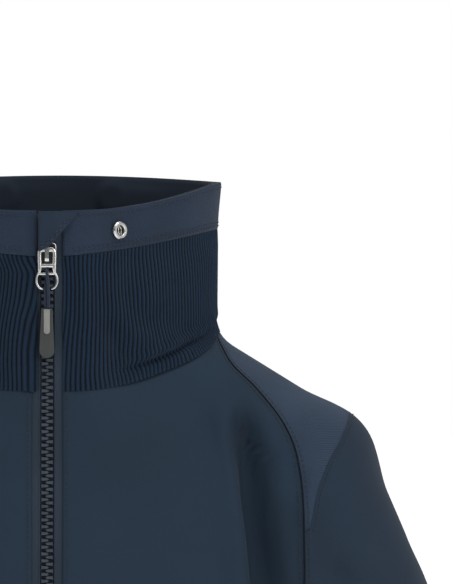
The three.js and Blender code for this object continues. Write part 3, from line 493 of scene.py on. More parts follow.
def calm(p):
    """0 where a pocket's zip or a cuff tab holds the cloth smooth, and 1 away from them."""
    x, y, z = np.abs(p[..., 0]), p[..., 1], p[..., 2]
    beyond = np.maximum(np.maximum(z - POCKET_ZIP_TOP[2], POCKET_ZIP_LOW[2] - z), 0)
    share = np.clip((z - POCKET_ZIP_LOW[2]) / (POCKET_ZIP_TOP[2] - POCKET_ZIP_LOW[2]), 0, 1)
    near = mix(POCKET_ZIP_LOW, POCKET_ZIP_TOP, share[..., None])
    away = np.sqrt((x - near[..., 0]) ** 2 + (y - near[..., 1]) ** 2 + beyond**2)
    pocket = ease(*CALM_REACH, away)
    cuff = np.where(x > 205, ease(-505, -520, z) * 0.96, 0)
    return pocket * (1 - cuff)


def fold_height(p):
    """How far the folds lift the cloth off the worn form, in millimetres."""
    z = p[..., 2]
    flat = p.reshape(-1, 3)
    total = np.zeros(len(flat))
    for line, widths, depths, gain in FOLDS:
        margin = 4.5 * max(widths)
        low, high = line.min(0) - margin, line.max(0) + margin
        near = np.nonzero(((flat > low) & (flat < high)).all(1))[0]
        if not len(near):
            continue
        q = flat[near]
        distance = np.full(len(q), 1e9)
        share = np.zeros(len(q))
        spans = len(line) - 1
        for k in range(spans):
            a, ab = line[k], line[k + 1] - line[k]
            t = np.clip((q - a) @ ab / (ab @ ab), 0, 1)
            d = np.linalg.norm(q - a - t[:, None] * ab, axis=1)
            closer = d < distance
            distance = np.where(closer, d, distance)
            share = np.where(closer, (k + t) / spans, share)
        width = mix(widths[0], widths[1], share)
        depth = mix(depths[0], depths[1], share) * gain * ease(0, 0.2, share)
        if widths[1] < HEM_FOLD_WIDTH:
            depth = depth * ease(0, 0.4, 1 - share)
        valley = np.exp(-((distance / width) ** 2))
        ridge = np.exp(-(((distance - 2.1 * width) / (1.1 * width)) ** 2))
        total[near] += depth * (0.42 * ridge - valley)
    total = total.reshape(z.shape)
    loose = ease(0, -120, z)
    soft = noise(p, 95, 0) * 1.3 + noise(p * (1, 1, 0.45), 42, 1) * 0.7
    sag = ease(-330, -640, z) * 2.6 * noise(p * (1, 1, 0.12), 70, 2)
    keep = ease(FLAT_HALF_WIDTH - 4, 48, np.abs(p[..., 0]))
    keep = np.where(p[..., 1] < 0, keep, 1)
    edge = 1 - 0.75 * ease(-628, -640, z)
    return (total + soft * loose + sag * edge) * keep * calm(p)


# ---- Meshes ----
def add_mesh(name, vertices, faces, material, body="jacket", uv=None, smooth=True):
    mesh = bpy.data.meshes.new(name)
    mesh.from_pydata((np.asarray(vertices) * MM).tolist(), [], [list(map(int, f)) for f in faces])
    mesh.validate()
    if uv is not None:
        layer = mesh.uv_layers.new(name="cloth")
        corners = np.empty(len(mesh.loops), np.int32)
        mesh.loops.foreach_get("vertex_index", corners)
        layer.data.foreach_set("uv", np.asarray(uv, float)[corners].ravel())
    mesh.shade_smooth() if smooth else mesh.shade_flat()
    piece = bpy.data.objects.new(name, mesh)
    bpy.context.scene.collection.objects.link(piece)
    piece.data.materials.append(material)
    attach(piece, body)
    return piece


def grid_faces(rows, columns, ring=False, start=0):
    i, j = np.meshgrid(np.arange(columns if ring else columns - 1), np.arange(rows - 1))
    k = (i + 1) % columns
    a, b = start + j * columns + i, start + j * columns + k
    return np.stack([a, b, b + columns, a + columns], axis=-1).reshape(-1, 4)


def cloth_sheet(name, outer, inner, material, ring=False, body="jacket", across_count=None):
    """A closed sheet between two grids of the same size, with millimetres of cloth as its UV.

    across_count, where given, takes the place of the millimetres across.
    """
    rows, columns = outer.shape[:2]
    count = rows * columns
    steps_u = np.linalg.norm(np.diff(outer, axis=1), axis=-1)
    steps_v = np.linalg.norm(np.diff(outer, axis=0), axis=-1)
    u = np.concatenate([np.zeros((rows, 1)), np.cumsum(steps_u, axis=1)], axis=1)
    u = u - u[:, columns // 2][:, None] if across_count is None else across_count
    v = np.concatenate([np.zeros((1, columns)), np.cumsum(steps_v, axis=0)], axis=0)
    uv = np.stack([u, v], axis=-1).reshape(-1, 2)
    faces = [grid_faces(rows, columns, ring), grid_faces(rows, columns, ring, count)[:, ::-1]]
    across = np.arange(columns if ring else columns - 1)
    beside = (across + 1) % columns
    for row, flip in ((0, False), (rows - 1, True)):
        a, b = row * columns + across, row * columns + beside
        rim = np.stack([a + count, b + count, b, a], axis=-1)
        faces.append(rim[:, ::-1] if flip else rim)
    if not ring:
        up = np.arange(rows - 1)
        for column, flip in ((0, False), (columns - 1, True)):
            a, b = up * columns + column, (up + 1) * columns + column
            rim = np.stack([a + count, a, b, b + count], axis=-1)
            faces.append(rim[:, ::-1] if flip else rim)
    vertices = np.concatenate([outer.reshape(-1, 3), inner.reshape(-1, 3)])
    return add_mesh(name, vertices, np.concatenate(faces), material, body, np.concatenate([uv, uv]))


def mirrored(grid):
    return grid[:, ::-1] * (-1, 1, 1)


def sweep(name, line, outward, section, material, body="jacket", closed=False, scale=1.0):
    """A closed bar along a line. section is a ring of (across, out) offsets, scaled along the line."""
    line = np.asarray(line, float)
    outward = np.broadcast_to(outward, line.shape)
    along = np.gradient(line, axis=0)
    if closed:
        along = np.roll(line, -1, 0) - np.roll(line, 1, 0)
    across = unit(np.cross(along, outward))
    out = unit(np.cross(across, along))
    section = np.array(section, float)
    scale = np.broadcast_to(scale, len(line))[:, None, None]
    vertices = line[:, None] + (across[:, None] * section[:, :1] + out[:, None] * section[:, 1:]) * scale
    sides, count = len(section), len(line)
    ring = np.arange(sides)
    faces = []
    for j in range(count if closed else count - 1):
        a, b = j * sides + ring, ((j + 1) % count) * sides + ring
        faces.append(np.stack([a, np.roll(a, -1), np.roll(b, -1), b], axis=-1))
    faces = [tuple(f) for f in np.concatenate(faces)]
    if not closed:
        faces.append(tuple(ring[::-1]))
        faces.append(tuple((count - 1) * sides + ring))
    return add_mesh(name, vertices.reshape(-1, 3), faces, material, body)


def round_section(radius, sides=8, flat=1.0):
    a = np.arange(sides) * 2 * math.pi / sides
    return np.stack([radius * np.cos(a), radius * flat * np.sin(a)], axis=-1)


STITCH_LENGTH = 2.3
STITCH_GAP = 0.9
THREAD_RADIUS = 0.24
ON_TOP = 0.05  # stitches lie this far off the cloth


def stitch_row(name, runs, material):
    """One piece of many small stitches. runs is a list of (line, outward) on the cloth."""
    vertices, faces = [], []
    for line, outward in runs:
        pitch = STITCH_LENGTH + STITCH_GAP
        count = max(2, int(length_of(line) / pitch))
        both = evenly(np.hstack([line, np.broadcast_to(outward, line.shape)]), count * 2)
        for start, end in zip(both[:-1:2], both[1::2]):
            a, b = start[:3], end[:3]
            along = unit(b - a)
            middle = (a + b) / 2
            a, b = middle - along * STITCH_LENGTH / 2, middle + along * STITCH_LENGTH / 2
            out = unit(start[3:])
            side = np.cross(along, out)
            base = len(vertices)
            vertices.append(a - out * 0.15)
            for t, lift in ((0.25, 0.22), (0.75, 0.22)):
                centre = mix(a, b, t) + out * lift
                for c, s in ((1, 0), (0, 1), (-1, 0), (0, -1)):
                    vertices.append(centre + (side * c + out * s) * THREAD_RADIUS)
            vertices.append(b - out * 0.15)
            for k in range(4):
                n = (k + 1) % 4
                faces.append((base, base + 1 + n, base + 1 + k))
                faces.append((base + 1 + k, base + 1 + n, base + 5 + n, base + 5 + k))
                faces.append((base + 9, base + 5 + k, base + 5 + n))
    return add_mesh(name, vertices, faces, material)


# ---- Materials ----
def linear(rgb):
    return tuple((c / 255 / 12.92) if c <= 10 else ((c / 255 + 0.055) / 1.055) ** 2.4 for c in rgb)


class Tree:
    """Adds to a node tree with short calls."""

    def __init__(self, tree):
        self.tree = tree

    def add(self, kind, **settings):
        node = self.tree.nodes.new("ShaderNode" + kind)
        for key, value in settings.items():
            setattr(node, key, value)
        return node

    def link(self, source, target):
        self.tree.links.new(source, target)

    def math(self, operation, a, b=0.0, c=0.0):
        node = self.add("Math", operation=operation)
        for socket, value in zip(node.inputs, (a, b, c)):
            if isinstance(value, (int, float)):
                socket.default_value = value
            else:
                self.link(value, socket)
        return node.outputs[0]


class Nodes(Tree):
    """One material's node tree."""

    def __init__(self, name):
        self.material = bpy.data.materials.new(name)
        self.material.use_nodes = True
        super().__init__(self.material.node_tree)
        self.shader = self.tree.nodes["Principled BSDF"]

    def position(self):
        return self.add("TexCoord").outputs["Object"]

    def noise(self, scale, detail=3.0, vector=None, roughness=0.5):
        node = self.add("TexNoise")
        node.inputs["Scale"].default_value = scale
        node.inputs["Detail"].default_value = detail
        node.inputs["Roughness"].default_value = roughness
        self.link(vector or self.position(), node.inputs["Vector"])
        return node.outputs["Fac"]

    def colours(self, factor, stops):
        ramp = self.add("ValToRGB")
        elements = ramp.color_ramp.elements
        while len(elements) < len(stops):
            elements.new(0.5)
        for element, (at, rgb) in zip(elements, stops):
            element.position = at
            element.color = (*linear(rgb), 1)
        self.link(factor, ramp.inputs["Fac"])
        return ramp.outputs["Color"]

    def bump(self, height, strength, distance, normal=None):
        node = self.add("Bump")
        node.inputs["Strength"].default_value = strength
        node.inputs["Distance"].default_value = distance
        self.link(height, node.inputs["Height"])
        if normal is not None:
            self.link(normal, node.inputs["Normal"])
        return node.outputs["Normal"]

    def finish(self, colour=None, roughness=0.6, metallic=0.0, normal=None, sheen=0.0, specular=0.3):
        inputs = self.shader.inputs
        if isinstance(colour, tuple):
            inputs["Base Color"].default_value = (*linear(colour), 1)
        elif colour is not None:
            self.link(colour, inputs["Base Color"])
        if isinstance(roughness, (int, float)):
            inputs["Roughness"].default_value = roughness
        else:
            self.link(roughness, inputs["Roughness"])
        inputs["Metallic"].default_value = metallic
        inputs["Sheen Weight"].default_value = sheen
        inputs["Sheen Roughness"].default_value = 0.4
        inputs["Specular IOR Level"].default_value = specular
        if normal is not None:
            self.link(normal, inputs["Normal"])
        return self.material


def shade(rgb, gain):
    return tuple(min(255, c * gain) for c in rgb)


def cloth_coordinates(n):
    node = n.add("UVMap", uv_map="cloth")
    parts = n.add("SeparateXYZ")
    n.link(node.outputs["UV"], parts.inputs[0])
    return parts.outputs[0], parts.outputs[1]


def woven(name, rgb, thread=0.55, depth=0.00006, mottling=0.07, roughness=0.8, sheen=0.03, specular=0.14):
    """Plain weave: warp and weft threads cross over each other, thread millimetres apart."""
    n = Nodes(name)
    u, v = cloth_coordinates(n)
    k = math.pi / thread
    warp = n.math("ABSOLUTE", n.math("SINE", n.math("MULTIPLY", u, k)))
    weft = n.math("ABSOLUTE", n.math("SINE", n.math("MULTIPLY", v, k)))
    over = n.math("SINE", n.math("MULTIPLY", n.math("ADD", u, v), k))
    weave = n.math("ADD", n.math("MULTIPLY", warp, weft), n.math("MULTIPLY", over, 0.3))
    cloud = n.noise(14, 4)
    dust = n.noise(900, 2)
    tone = n.math("ADD", n.math("MULTIPLY", cloud, 0.7), n.math("MULTIPLY", dust, 0.3))
    low, high = shade(rgb, 1 - mottling), shade(rgb, 1 + mottling)
    colour = n.colours(tone, ((0.3, low), (0.7, high)))
    normal = n.bump(weave, 0.5, depth)
    normal = n.bump(n.noise(120, 4), 0.25, 0.0004, normal)
    rough = n.math("MULTIPLY_ADD", cloud, 0.12, roughness - 0.06)
    return n.finish(colour, rough, 0.0, normal, sheen, specular)


def twill(name, rgb, pitch=1.2, depth=0.00014, contrast=0.16, roughness=0.8, sheen=0.04, specular=0.16):
    """Twill: diagonal ribs pitch millimetres apart, with slubs."""
    n = Nodes(name)
    u, v = cloth_coordinates(n)
    wobble = n.math("MULTIPLY", n.noise(160, 2), 1.2)
    diagonal = n.math("ADD", n.math("ADD", u, v), wobble)
    rib = n.math("SINE", n.math("MULTIPLY", diagonal, 2 * math.pi / (pitch * 1.414)))
    fine = n.math("SINE", n.math("MULTIPLY", n.math("SUBTRACT", u, v), 2 * math.pi / (pitch * 0.5)))
    height = n.math("MULTIPLY_ADD", fine, 0.25, rib)
    tone = n.math("MULTIPLY_ADD", height, 0.22, n.noise(18, 4))
    colour = n.colours(tone, ((0.25, shade(rgb, 1 - contrast)), (0.75, shade(rgb, 1 + contrast))))
    normal = n.bump(height, 0.6, depth)
    normal = n.bump(n.noise(90, 3), 0.2, 0.0004, normal)
    return n.finish(colour, roughness, 0.0, normal, sheen, specular)


def knitted(name, rgb):
    """Corduroy knit: a whole number in U is the top of a rib. The colour is painted lighter on the rib tops
    and darker in the valleys between ribs: painted highlight and painted shade.
    """
    n = Nodes(name)
    u, v = cloth_coordinates(n)
    painted_rib_shading = n.math("ABSOLUTE", n.math("COSINE", n.math("MULTIPLY", u, math.pi)))
    loops = n.math("SINE", n.math("MULTIPLY", v, 2 * math.pi / 0.9))
    worn = n.math("MULTIPLY_ADD", n.noise(35, 5), 0.5, -0.25)
    tone = n.math("ADD", n.math("MULTIPLY_ADD", loops, 0.04, painted_rib_shading), worn)
    # Painted shade and highlight: the colour falls to 0.42 of the knit's in the valleys and rises to 1.18 on
    # the rib tops.
    stops = ((0.1, shade(rgb, 0.42)), (0.5, shade(rgb, 0.88)), (0.95, shade(rgb, 1.18)))
    normal = n.bump(loops, 0.4, 0.00012)
    normal = n.bump(n.noise(1400, 2), 0.35, 0.00015, normal)
    return n.finish(n.colours(tone, stops), 0.9, 0.0, normal, 0.05, 0.12)


def moulded(name, rgb, roughness=0.4, grain=2200, specular=0.5):
    n = Nodes(name)
    tone = n.noise(60, 3)
    colour = n.colours(tone, ((0.3, shade(rgb, 0.9)), (0.7, shade(rgb, 1.1))))
    normal = n.bump(n.noise(grain, 2), 0.15, 0.00008)
    rough = n.math("MULTIPLY_ADD", n.noise(200, 3), 0.15, roughness - 0.07)
    return n.finish(colour, rough, 0.0, normal, 0.0, specular)


def metal(name, rgb, roughness=0.22):
    n = Nodes(name)
    colour = n.colours(n.noise(90, 4), ((0.25, shade(rgb, 0.86)), (0.7, shade(rgb, 1.0))))
    rough = n.math("MULTIPLY_ADD", n.noise(160, 2), 0.14, roughness - 0.06)
    normal = n.bump(n.noise(160, 2), 0.05, 0.00005)
    return n.finish(colour, rough, 1.0, normal)


def braided(name, rgb):
    n = Nodes(name)
    wave = n.add("TexWave", bands_direction="DIAGONAL")
    wave.inputs["Scale"].default_value = 420
    wave.inputs["Distortion"].default_value = 1.5
    n.link(n.position(), wave.inputs["Vector"])
    colour = n.colours(wave.outputs["Fac"], ((0.2, shade(rgb, 0.7)), (0.8, shade(rgb, 1.25))))
    return n.finish(colour, 0.8, 0.0, n.bump(wave.outputs["Fac"], 0.6, 0.0002), 0.2, 0.3)


def coil(name, rgb, pitch=1.5):
    """A fine zip: close ridges across it, pitch millimetres apart."""
    n = Nodes(name)
    parts = n.add("SeparateXYZ")
    n.link(n.position(), parts.inputs[0])
    ridge = n.math("SINE", n.math("MULTIPLY", parts.outputs[2], 2 * math.pi / (pitch * MM)))
    tone = n.math("MULTIPLY_ADD", ridge, 0.3, n.noise(80, 3))
    colour = n.colours(tone, ((0.2, shade(rgb, 0.55)), (0.75, shade(rgb, 1.2))))
    return n.finish(colour, 0.5, 0.0, n.bump(ridge, 0.7, 0.0003), 0.0, 0.3)


SHELL_CLOTH = woven("shell weave", (32, 46, 60))
SLEEVE_CLOTH = woven("sleeve weave", (34, 46, 60))
SHOULDER_CLOTH = twill("shoulder twill", (46, 59, 76), contrast=0.12)
BAND_CLOTH = twill("band twill", (35, 46, 62), contrast=0.12)
RIB_CLOTH = knitted("rib knit", (21, 34, 49))
GARAGE_FACE = woven("garage weave", (33, 43, 57))
LINING_CLOTH = woven("lining weave", (32, 40, 51), thread=0.4)
POCKET_CLOTH = woven("pocket weave", (27, 34, 42), thread=0.5)
TAPE_CLOTH = twill("zip tape weave", (43, 53, 65), pitch=0.9, depth=0.00012, contrast=0.1)
TEETH = moulded("zip teeth", (48, 55, 65), 0.35)
# A near-black colour for the round bar laid along each raglan seam.
DARK_SEAM_BAR = woven("dark seam bar", (13, 16, 21), thread=0.5)
THREAD = moulded("thread", (40, 52, 67), 0.6)
DARK_THREAD = moulded("dark thread", (24, 32, 43), 0.6)
BRIGHT = metal("polished zinc", (214, 215, 213), 0.24)
# Painted shade: the slider's body gets this dark copy of the bright metal that its crown and rim have.
SHADED_SLIDER_METAL = metal("slider metal in painted shade", (70, 72, 75), 0.3)
# Painted shade: the snap socket's floor and inner step get this dark copy of the bright metal of its lip and
# rim.
SOCKET_SHADE_METAL = metal("socket metal in painted shade", (74, 72, 60), 0.4)
CAP_LACQUER = moulded("cap lacquer", (24, 30, 39), 0.75, specular=0.1)
CORD = braided("braided cord", (27, 38, 56))
TAB_RUBBER = moulded("tab rubber", (52, 55, 55), 0.55, 1600, 0.35)
INLAY = moulded("tab inlay", (122, 122, 119), 0.4, 2000)
POCKET_COIL = coil("pocket coil", (30, 37, 46))
TAPE_CLOTH_SOLID = moulded("webbing", (36, 45, 56), 0.8, 1500, 0.3)
POCKET_SOLID = moulded("plain cloth", (33, 42, 52), 0.85, 1800, 0.25)


# ---- Cloth panels ----
def draped(form, grid, depth):
    """The grid with its folds, sunk by depth square to the cloth."""
    return grid + outward_at(form, grid) * (fold_height(grid) - depth)[..., None]


ASTRAY = 8  # a gap this wide at a panel's end means that its last columns struck the arm


def join_end(grid, ends, columns=5):
    """Brings a grid's last columns to its end line, straight where they struck the arm."""
    near = grid[:, -columns - 1 :].copy()
    gap = ends - near[:, -1]
    share = np.linspace(0, 1, columns + 1)[None, :, None]
    astray = np.linalg.norm(gap, axis=-1) > ASTRAY
    straight = mix(near[:, :1], ends[:, None], share)
    joined = near + gap[:, None] * share**2
    grid[:, -columns - 1 :] = np.where(astray[:, None, None], straight, joined)


def trunk_grid(front, rows_low=110, rows_high=64, columns=64):
    """A front panel (left) or the back panel, from the hem to the collar seam."""
    raglan = RAGLAN[-1 if front else 1]
    low_z = np.linspace(HEM_Z, UNDERARM[2], rows_low)[:-1]
    high = settle(worn_form, evenly(smooth_line(raglan[::-1], 12), rows_high))
    high[0], high[-1] = raglan[-1], raglan[0]
    ends = np.vstack([around(trunk_form, 90, low_z), high])
    count = len(ends)
    share = np.arange(count) / (count - 1)
    u = np.linspace(0, 1, columns)[None]
    end_turn = turn_of(ends)[:, None]
    if front:
        risen = np.clip((np.arange(count) - rows_low + 1) / (count - rows_low), 0, 1)
        start_z = np.where(np.arange(count) < rows_low - 1, ends[:, 2], mix(UNDERARM[2], 0, risen))
        start = edge_turn(start_z)[:, None]
        turn, z = mix(start, end_turn, u), mix(start_z[:, None], ends[:, 2:3], u)
    else:
        start, end_turn = end_turn, 360 - end_turn
        turn, z = mix(start, end_turn, u), np.repeat(ends[:, 2:3], columns, axis=1)
    line = mix(seam_height(start), seam_height(end_turn), u)
    z = z + (seam_height(turn) - line) * share[:, None] ** 5
    grid = around(trunk_form, turn, z)
    join_end(grid, ends if front else ends * (-1, 1, 1))
    if not front:
        join_end(grid[:, ::-1], ends)
    return grid


def shoulder_grid(columns=90, rows=26):
    turns = np.linspace(RAGLAN_FRONT_TURN, RAGLAN_BACK_TURN, 9)
    top = around(worn_form, turns, seam_height(turns))
    front = settle(worn_form, smooth_line(RAGLAN[-1], 12)[: RAGLAN_TIP * 12 + 1][::-1])
    back = settle(worn_form, smooth_line(RAGLAN[1], 12)[: RAGLAN_TIP * 12 + 1])
    inner = evenly(np.vstack([front, top[1:-1], back]), columns)
    outer = evenly(smooth_line(SLEEVE_SEAM, 12), columns)
    t = np.linspace(0, 1, rows)[:, None, None]
    grid = settle(worn_form, mix(outer[None], inner[None], t))
    grid[-1] = inner
    return grid


def sleeve_grid(shoulder, columns=130, rows=150):
    low_front = settle(worn_form, smooth_line(RAGLAN[-1], 12)[RAGLAN_TIP * 12 :][::-1])
    low_back = settle(worn_form, smooth_line(RAGLAN[1], 12)[RAGLAN_TIP * 12 :])
    low_front[0] = low_back[-1] = UNDERARM
    top = evenly(np.vstack([low_front, shoulder[0], low_back]), columns + 1)[:-1]
    turn = np.arange(columns) / columns * 2 * math.pi
    cuff = np.stack([
        CUFF[0] - CUFF_RADIUS * np.cos(turn),
        -CUFF_RADIUS / SLEEVE_FLATNESS * np.sin(turn),
        np.full(columns, float(CUFF[1])),
    ], axis=-1)  # fmt: skip
    t = np.linspace(1, 0, rows)[:, None, None] ** 1.15
    grid = mix(top[None], cuff[None], t)
    grid[:-1] = settle(sleeve_form, grid[:-1])
    grid[0, :, 2] = CUFF[1]
    return grid


def collar_grid(low, high, rows, columns):
    """The collar between two heights, in columns of equal width round the neck."""
    middle = edge_turn(80.0)
    turn = np.linspace(middle, 360 - middle, 361)
    ring = around(worn_form, turn, 90.0)
    at = np.concatenate([[0], np.cumsum(np.linalg.norm(np.diff(ring, axis=0), axis=1))])
    turn = np.interp(np.linspace(0, at[-1], columns), at, turn)[None]
    t = np.linspace(0, 1, rows)[:, None]
    z = mix(low(turn), high(turn), t)
    edge = edge_turn(z)
    turn = mix(edge, 360 - edge, (turn - turn.min()) / (turn.max() - turn.min()))
    return around(worn_form, turn, mix(low(turn), high(turn), t))


def area_of(grid):
    du, dv = np.diff(grid[:-1], axis=1), np.diff(grid[:, :-1], axis=0)
    return float(np.linalg.norm(np.cross(du, dv), axis=-1).sum()) * MM * MM


def add_panel(name, form, grid, depth, thickness, material, ring=False):
    """A panel of shell or lining that stands for its CAD solid."""
    outer = draped(form, grid, depth)
    inner = draped(form, grid, depth + thickness)
    piece = cloth_sheet(f"{name}_cloth", outer, inner, material, ring)
    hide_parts(name)
    area = area_of(outer)
    wide = max(length_of(outer[row]) for row in (0, len(outer) // 2, len(outer) - 1)) * MM
    tall = max(length_of(outer[:, column]) for column in (0, outer.shape[1] // 2)) * MM
    tall = max(tall, area / wide)


def build_trunk():
    front, back = trunk_grid(True), trunk_grid(False, columns=110)
    add_panel("back_panel", trunk_form, back, 0, SHELL, SHELL_CLOTH)
    add_panel("back_lining", trunk_form, back[::2, ::2], BODY_LINING_DEPTH, LINING, LINING_CLOTH)
    box = np.array(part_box("pocket_bag_left")) / MM
    for side, sign in SIDES:
        grid = front if sign > 0 else mirrored(front)
        add_panel(f"front_panel_{side}", trunk_form, grid, 0, SHELL, SHELL_CLOTH)
        lining = grid[::2, ::2]
        add_panel(f"front_lining_{side}", trunk_form, lining, BODY_LINING_DEPTH, LINING, LINING_CLOTH)
        bag = front[::2, ::2]
        rows = (bag[:, 0, 2] > box[0][2]) & (bag[:, 0, 2] < box[1][2])
        middle = bag[rows][rows.sum() // 2]
        columns = (middle[:, 0] > box[0][0]) & (middle[:, 0] < box[1][0])
        bag = bag[rows][:, columns]
        bag = bag if sign > 0 else mirrored(bag)
        depth = SHELL + POCKET_GAP
        add_panel(f"pocket_bag_{side}", trunk_form, bag, depth, POCKET_CLOTH_THICKNESS, POCKET_CLOTH)


def build_sleeves():
    shoulder = shoulder_grid()
    sleeve = sleeve_grid(shoulder)
    for side, sign in SIDES:
        turned = (lambda g: g) if sign > 0 else mirrored
        add_panel(f"shoulder_panel_{side}", worn_form, turned(shoulder), 0, SHELL, SHOULDER_CLOTH)
        add_panel(f"sleeve_{side}", sleeve_form, turned(sleeve), 0, SHELL, SLEEVE_CLOTH, ring=True)
        lining = turned(sleeve)[::2, ::2]
        depth = SLEEVE_LINING_DEPTH
        add_panel(f"sleeve_lining_{side}", sleeve_form, lining, depth, LINING, LINING_CLOTH, ring=True)


SNAP_TURNS = {"front_left": 29, "front_right": 331, "back_left": 152, "back_right": 208}
SNAP_BELOW_EDGE = 14
SNAP_COVER = 3.2  # how far the lining stands off over the back of a snap
RIB_PITCH = 2.7
RIB_HEIGHT = 1.15
RIB_SAMPLES = 6


def build_collar():
    base = collar_grid(seam_height, band_height, 30, 260)
    ribs = round(length_of(base[-1]) / RIB_PITCH)
    grid = refine(base, 84, ribs * RIB_SAMPLES + 1)
    outward = unit(refine(outward_at(worn_form, base), 84, ribs * RIB_SAMPLES + 1))
    count = np.linspace(0, ribs, grid.shape[1])[None]
    high = np.linspace(0, 1, len(grid))[:, None]
    wander = 1.5 * noise(grid * (1, 1, 0.9), 120, 3) + 0.45 * noise(grid * (1, 1, 0.8), 55, 4)
    wander = wander + 0.07 * noise(grid, 16, 2)
    wander = wander * ease(0, 0.15, 1 - high)
    wave = np.abs(np.cos(math.pi * (count + wander))) ** 0.75
    fade = ease(0, 0.03, high) * ease(0, 0.03, 1 - high)
    crease = collar_crease(grid)
    bulge = 1.6 * noise(grid * (1, 1, 0.6), 60, 1) * ease(0, 0.25, high) * ease(0, 0.2, 1 - high)
    bulge = np.where(grid[..., 1] < 0, bulge * ease(15, 34, np.abs(grid[..., 0])), bulge)
    body = crease + bulge + collar_ridges(grid) * ease(0, 0.2, high) * ease(0, 0.12, 1 - high)
    grid = curled(grid)
    outer = grid + outward * (RIB_HEIGHT * (wave - 0.75) * mix(0.4, 1, fade) + body)[..., None]
    inner = grid - outward * SHELL + outward * np.maximum(body, -0.8)[..., None]
    piece = cloth_sheet("collar_rib_cloth", outer, inner, RIB_CLOTH, across_count=count + wander)
    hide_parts("collar_rib")

    band = collar_grid(band_height, top_height, 20, 320)
    high = np.linspace(0, 1, len(band))[:, None]
    outward = outward_at(worn_form, band)
    lift = 0.35 * noise(band, 40, 2) + 0.5 * ease(0.0, 0.06, high) + edge_roll(band) * 0.5
    lift = lift - 0.5 * ease(0.95, 1, high)
    band = curled(band)
    outer = band + outward * lift[..., None]
    inner = band + outward * (lift - SHELL)[..., None]
    piece = cloth_sheet("collar_band_cloth", outer, inner, BAND_CLOTH)
    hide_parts("collar_band")

    whole = collar_grid(seam_height, top_height, 30, 240)
    outward = outward_at(worn_form, whole)
    high = np.linspace(0, 1, len(whole))[:, None]
    behind = ease(55, 85, np.degrees(np.arccos(-whole[..., 1] / np.hypot(whole[..., 0], whole[..., 1]))))
    loose = (1.6 + 1.6 * noise(whole * (1, 1, 0.15), 44, 2)) * behind * ease(0, 0.12, 1 - high)
    for turn in SNAP_TURNS.values():
        away = np.linalg.norm(whole - snap_frame(turn)[0], axis=-1)
        loose = np.maximum(loose, SNAP_COVER * ease(15, 8, away))
    depth = (NECK_LINING_DEPTH + loose)[..., None]
    lining = (whole - outward * depth, whole - outward * (depth + LINING))
    piece = cloth_sheet("collar_lining_cloth", *lining, LINING_CLOTH)
    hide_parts("collar_lining")


def edge_roll(p):
    """The turned-in front edges stand up a little beside the zip."""
    x = np.abs(p[..., 0])
    return np.where(p[..., 1] < 0, 1.3 * np.exp(-(((x - 14.5) / 3.2) ** 2)), 0)


def curled(p):
    """The wearer's right edge of the collar leans over towards the zip."""
    near = np.exp(-(((-p[..., 0] - FRONT_EDGE) / 4) ** 2)) * (p[..., 0] < 0) * (p[..., 1] < 0)
    return p + np.stack([3.0 * near, -0.8 * near, 0 * near], axis=-1)


BESIDE_TAPE = 22  # nearer the zip than this the ribs don't sink, and the tape stays behind them
RIDGES = (
    (((24, 84), (23, 60), (27, 30), (24, 4)), 7.5, 3.4),
    (((40, 80), (36, 60), (44, 42), (58, 30), (76, 26)), 8, 2.4),
    (((60, 14), (78, 18), (92, 28), (100, 38)), 5, 2.2),
    (((-18, 84), (-19, 50), (-17, 20), (-19, 4)), 5.5, 3.0),
    (((-44, 78), (-40, 52), (-52, 30), (-70, 24)), 8, 2.2),
)


def collar_ridges(p):
    """Soft rolls in the ribbed cloth: one up each side of the zip and others across the front."""
    total = np.zeros(p.shape[:-1])
    for path, width, height in RIDGES:
        x, z = smooth_line(path, 6).T
        line = across_at(x, z, -1)
        distance = np.min([np.linalg.norm(p - a, axis=-1) for a in line], axis=0)
        valley = np.exp(-(((distance - 1.9 * width) / (0.8 * width)) ** 2))
        total += height * np.exp(-((distance / width) ** 2)) - 0.25 * height * valley
    near = np.abs(p[..., 0])
    clear = np.where(p[..., 1] < 0, ease(9, 18, near), 1)
    return np.where(near < BESIDE_TAPE, np.maximum(total, 0), total) * clear


COLLAR_CREASE = ((30, 12), (42, 13), (55, 16.4), (67, 20.6), (80, 26), (93, 32), (104, 40), (112, 46))


def collar_crease(p):
    """The ribs fold over themselves low on each side: a soft overhang with a groove under it."""
    x, z = np.array(COLLAR_CREASE, float).T
    near = np.abs(p[..., 0])
    above = p[..., 2] - np.interp(near, x, z) - np.where(p[..., 1] > -20, 0.12 * (p[..., 1] + 20), 0)
    overhang = 2.4 * np.exp(-(((above - 3.4) / 3.4) ** 2))
    groove = -3.0 * np.exp(-(((above + 1.2) / 1.9) ** 2))
    below = 1.5 * np.exp(-(((above + 8.5) / 4.5) ** 2))
    strength = ease(34, 66, near) * ease(30, -10, p[..., 1]) * mix(1, 0.2, ease(84, 101, near))
    return (overhang + groove + below) * strength


# ---- Hem, cuffs, seams and stitching ----
def on_cloth(form, p, lift=0.0):
    p = np.asarray(p, float)
    outward = outward_at(form, p)
    return p + outward * (fold_height(p) + lift)[..., None], outward


def flipped(run, sign):
    line, outward = run
    return line * (sign, 1, 1), outward * (sign, 1, 1)


def beside(line, form, offset):
    """A line moved across the cloth, to the right of its own direction when offset is positive."""
    along = unit(np.gradient(line, axis=0))
    across = unit(np.cross(along, outward_at(form, line)))
    return settle(form, line + across * offset)


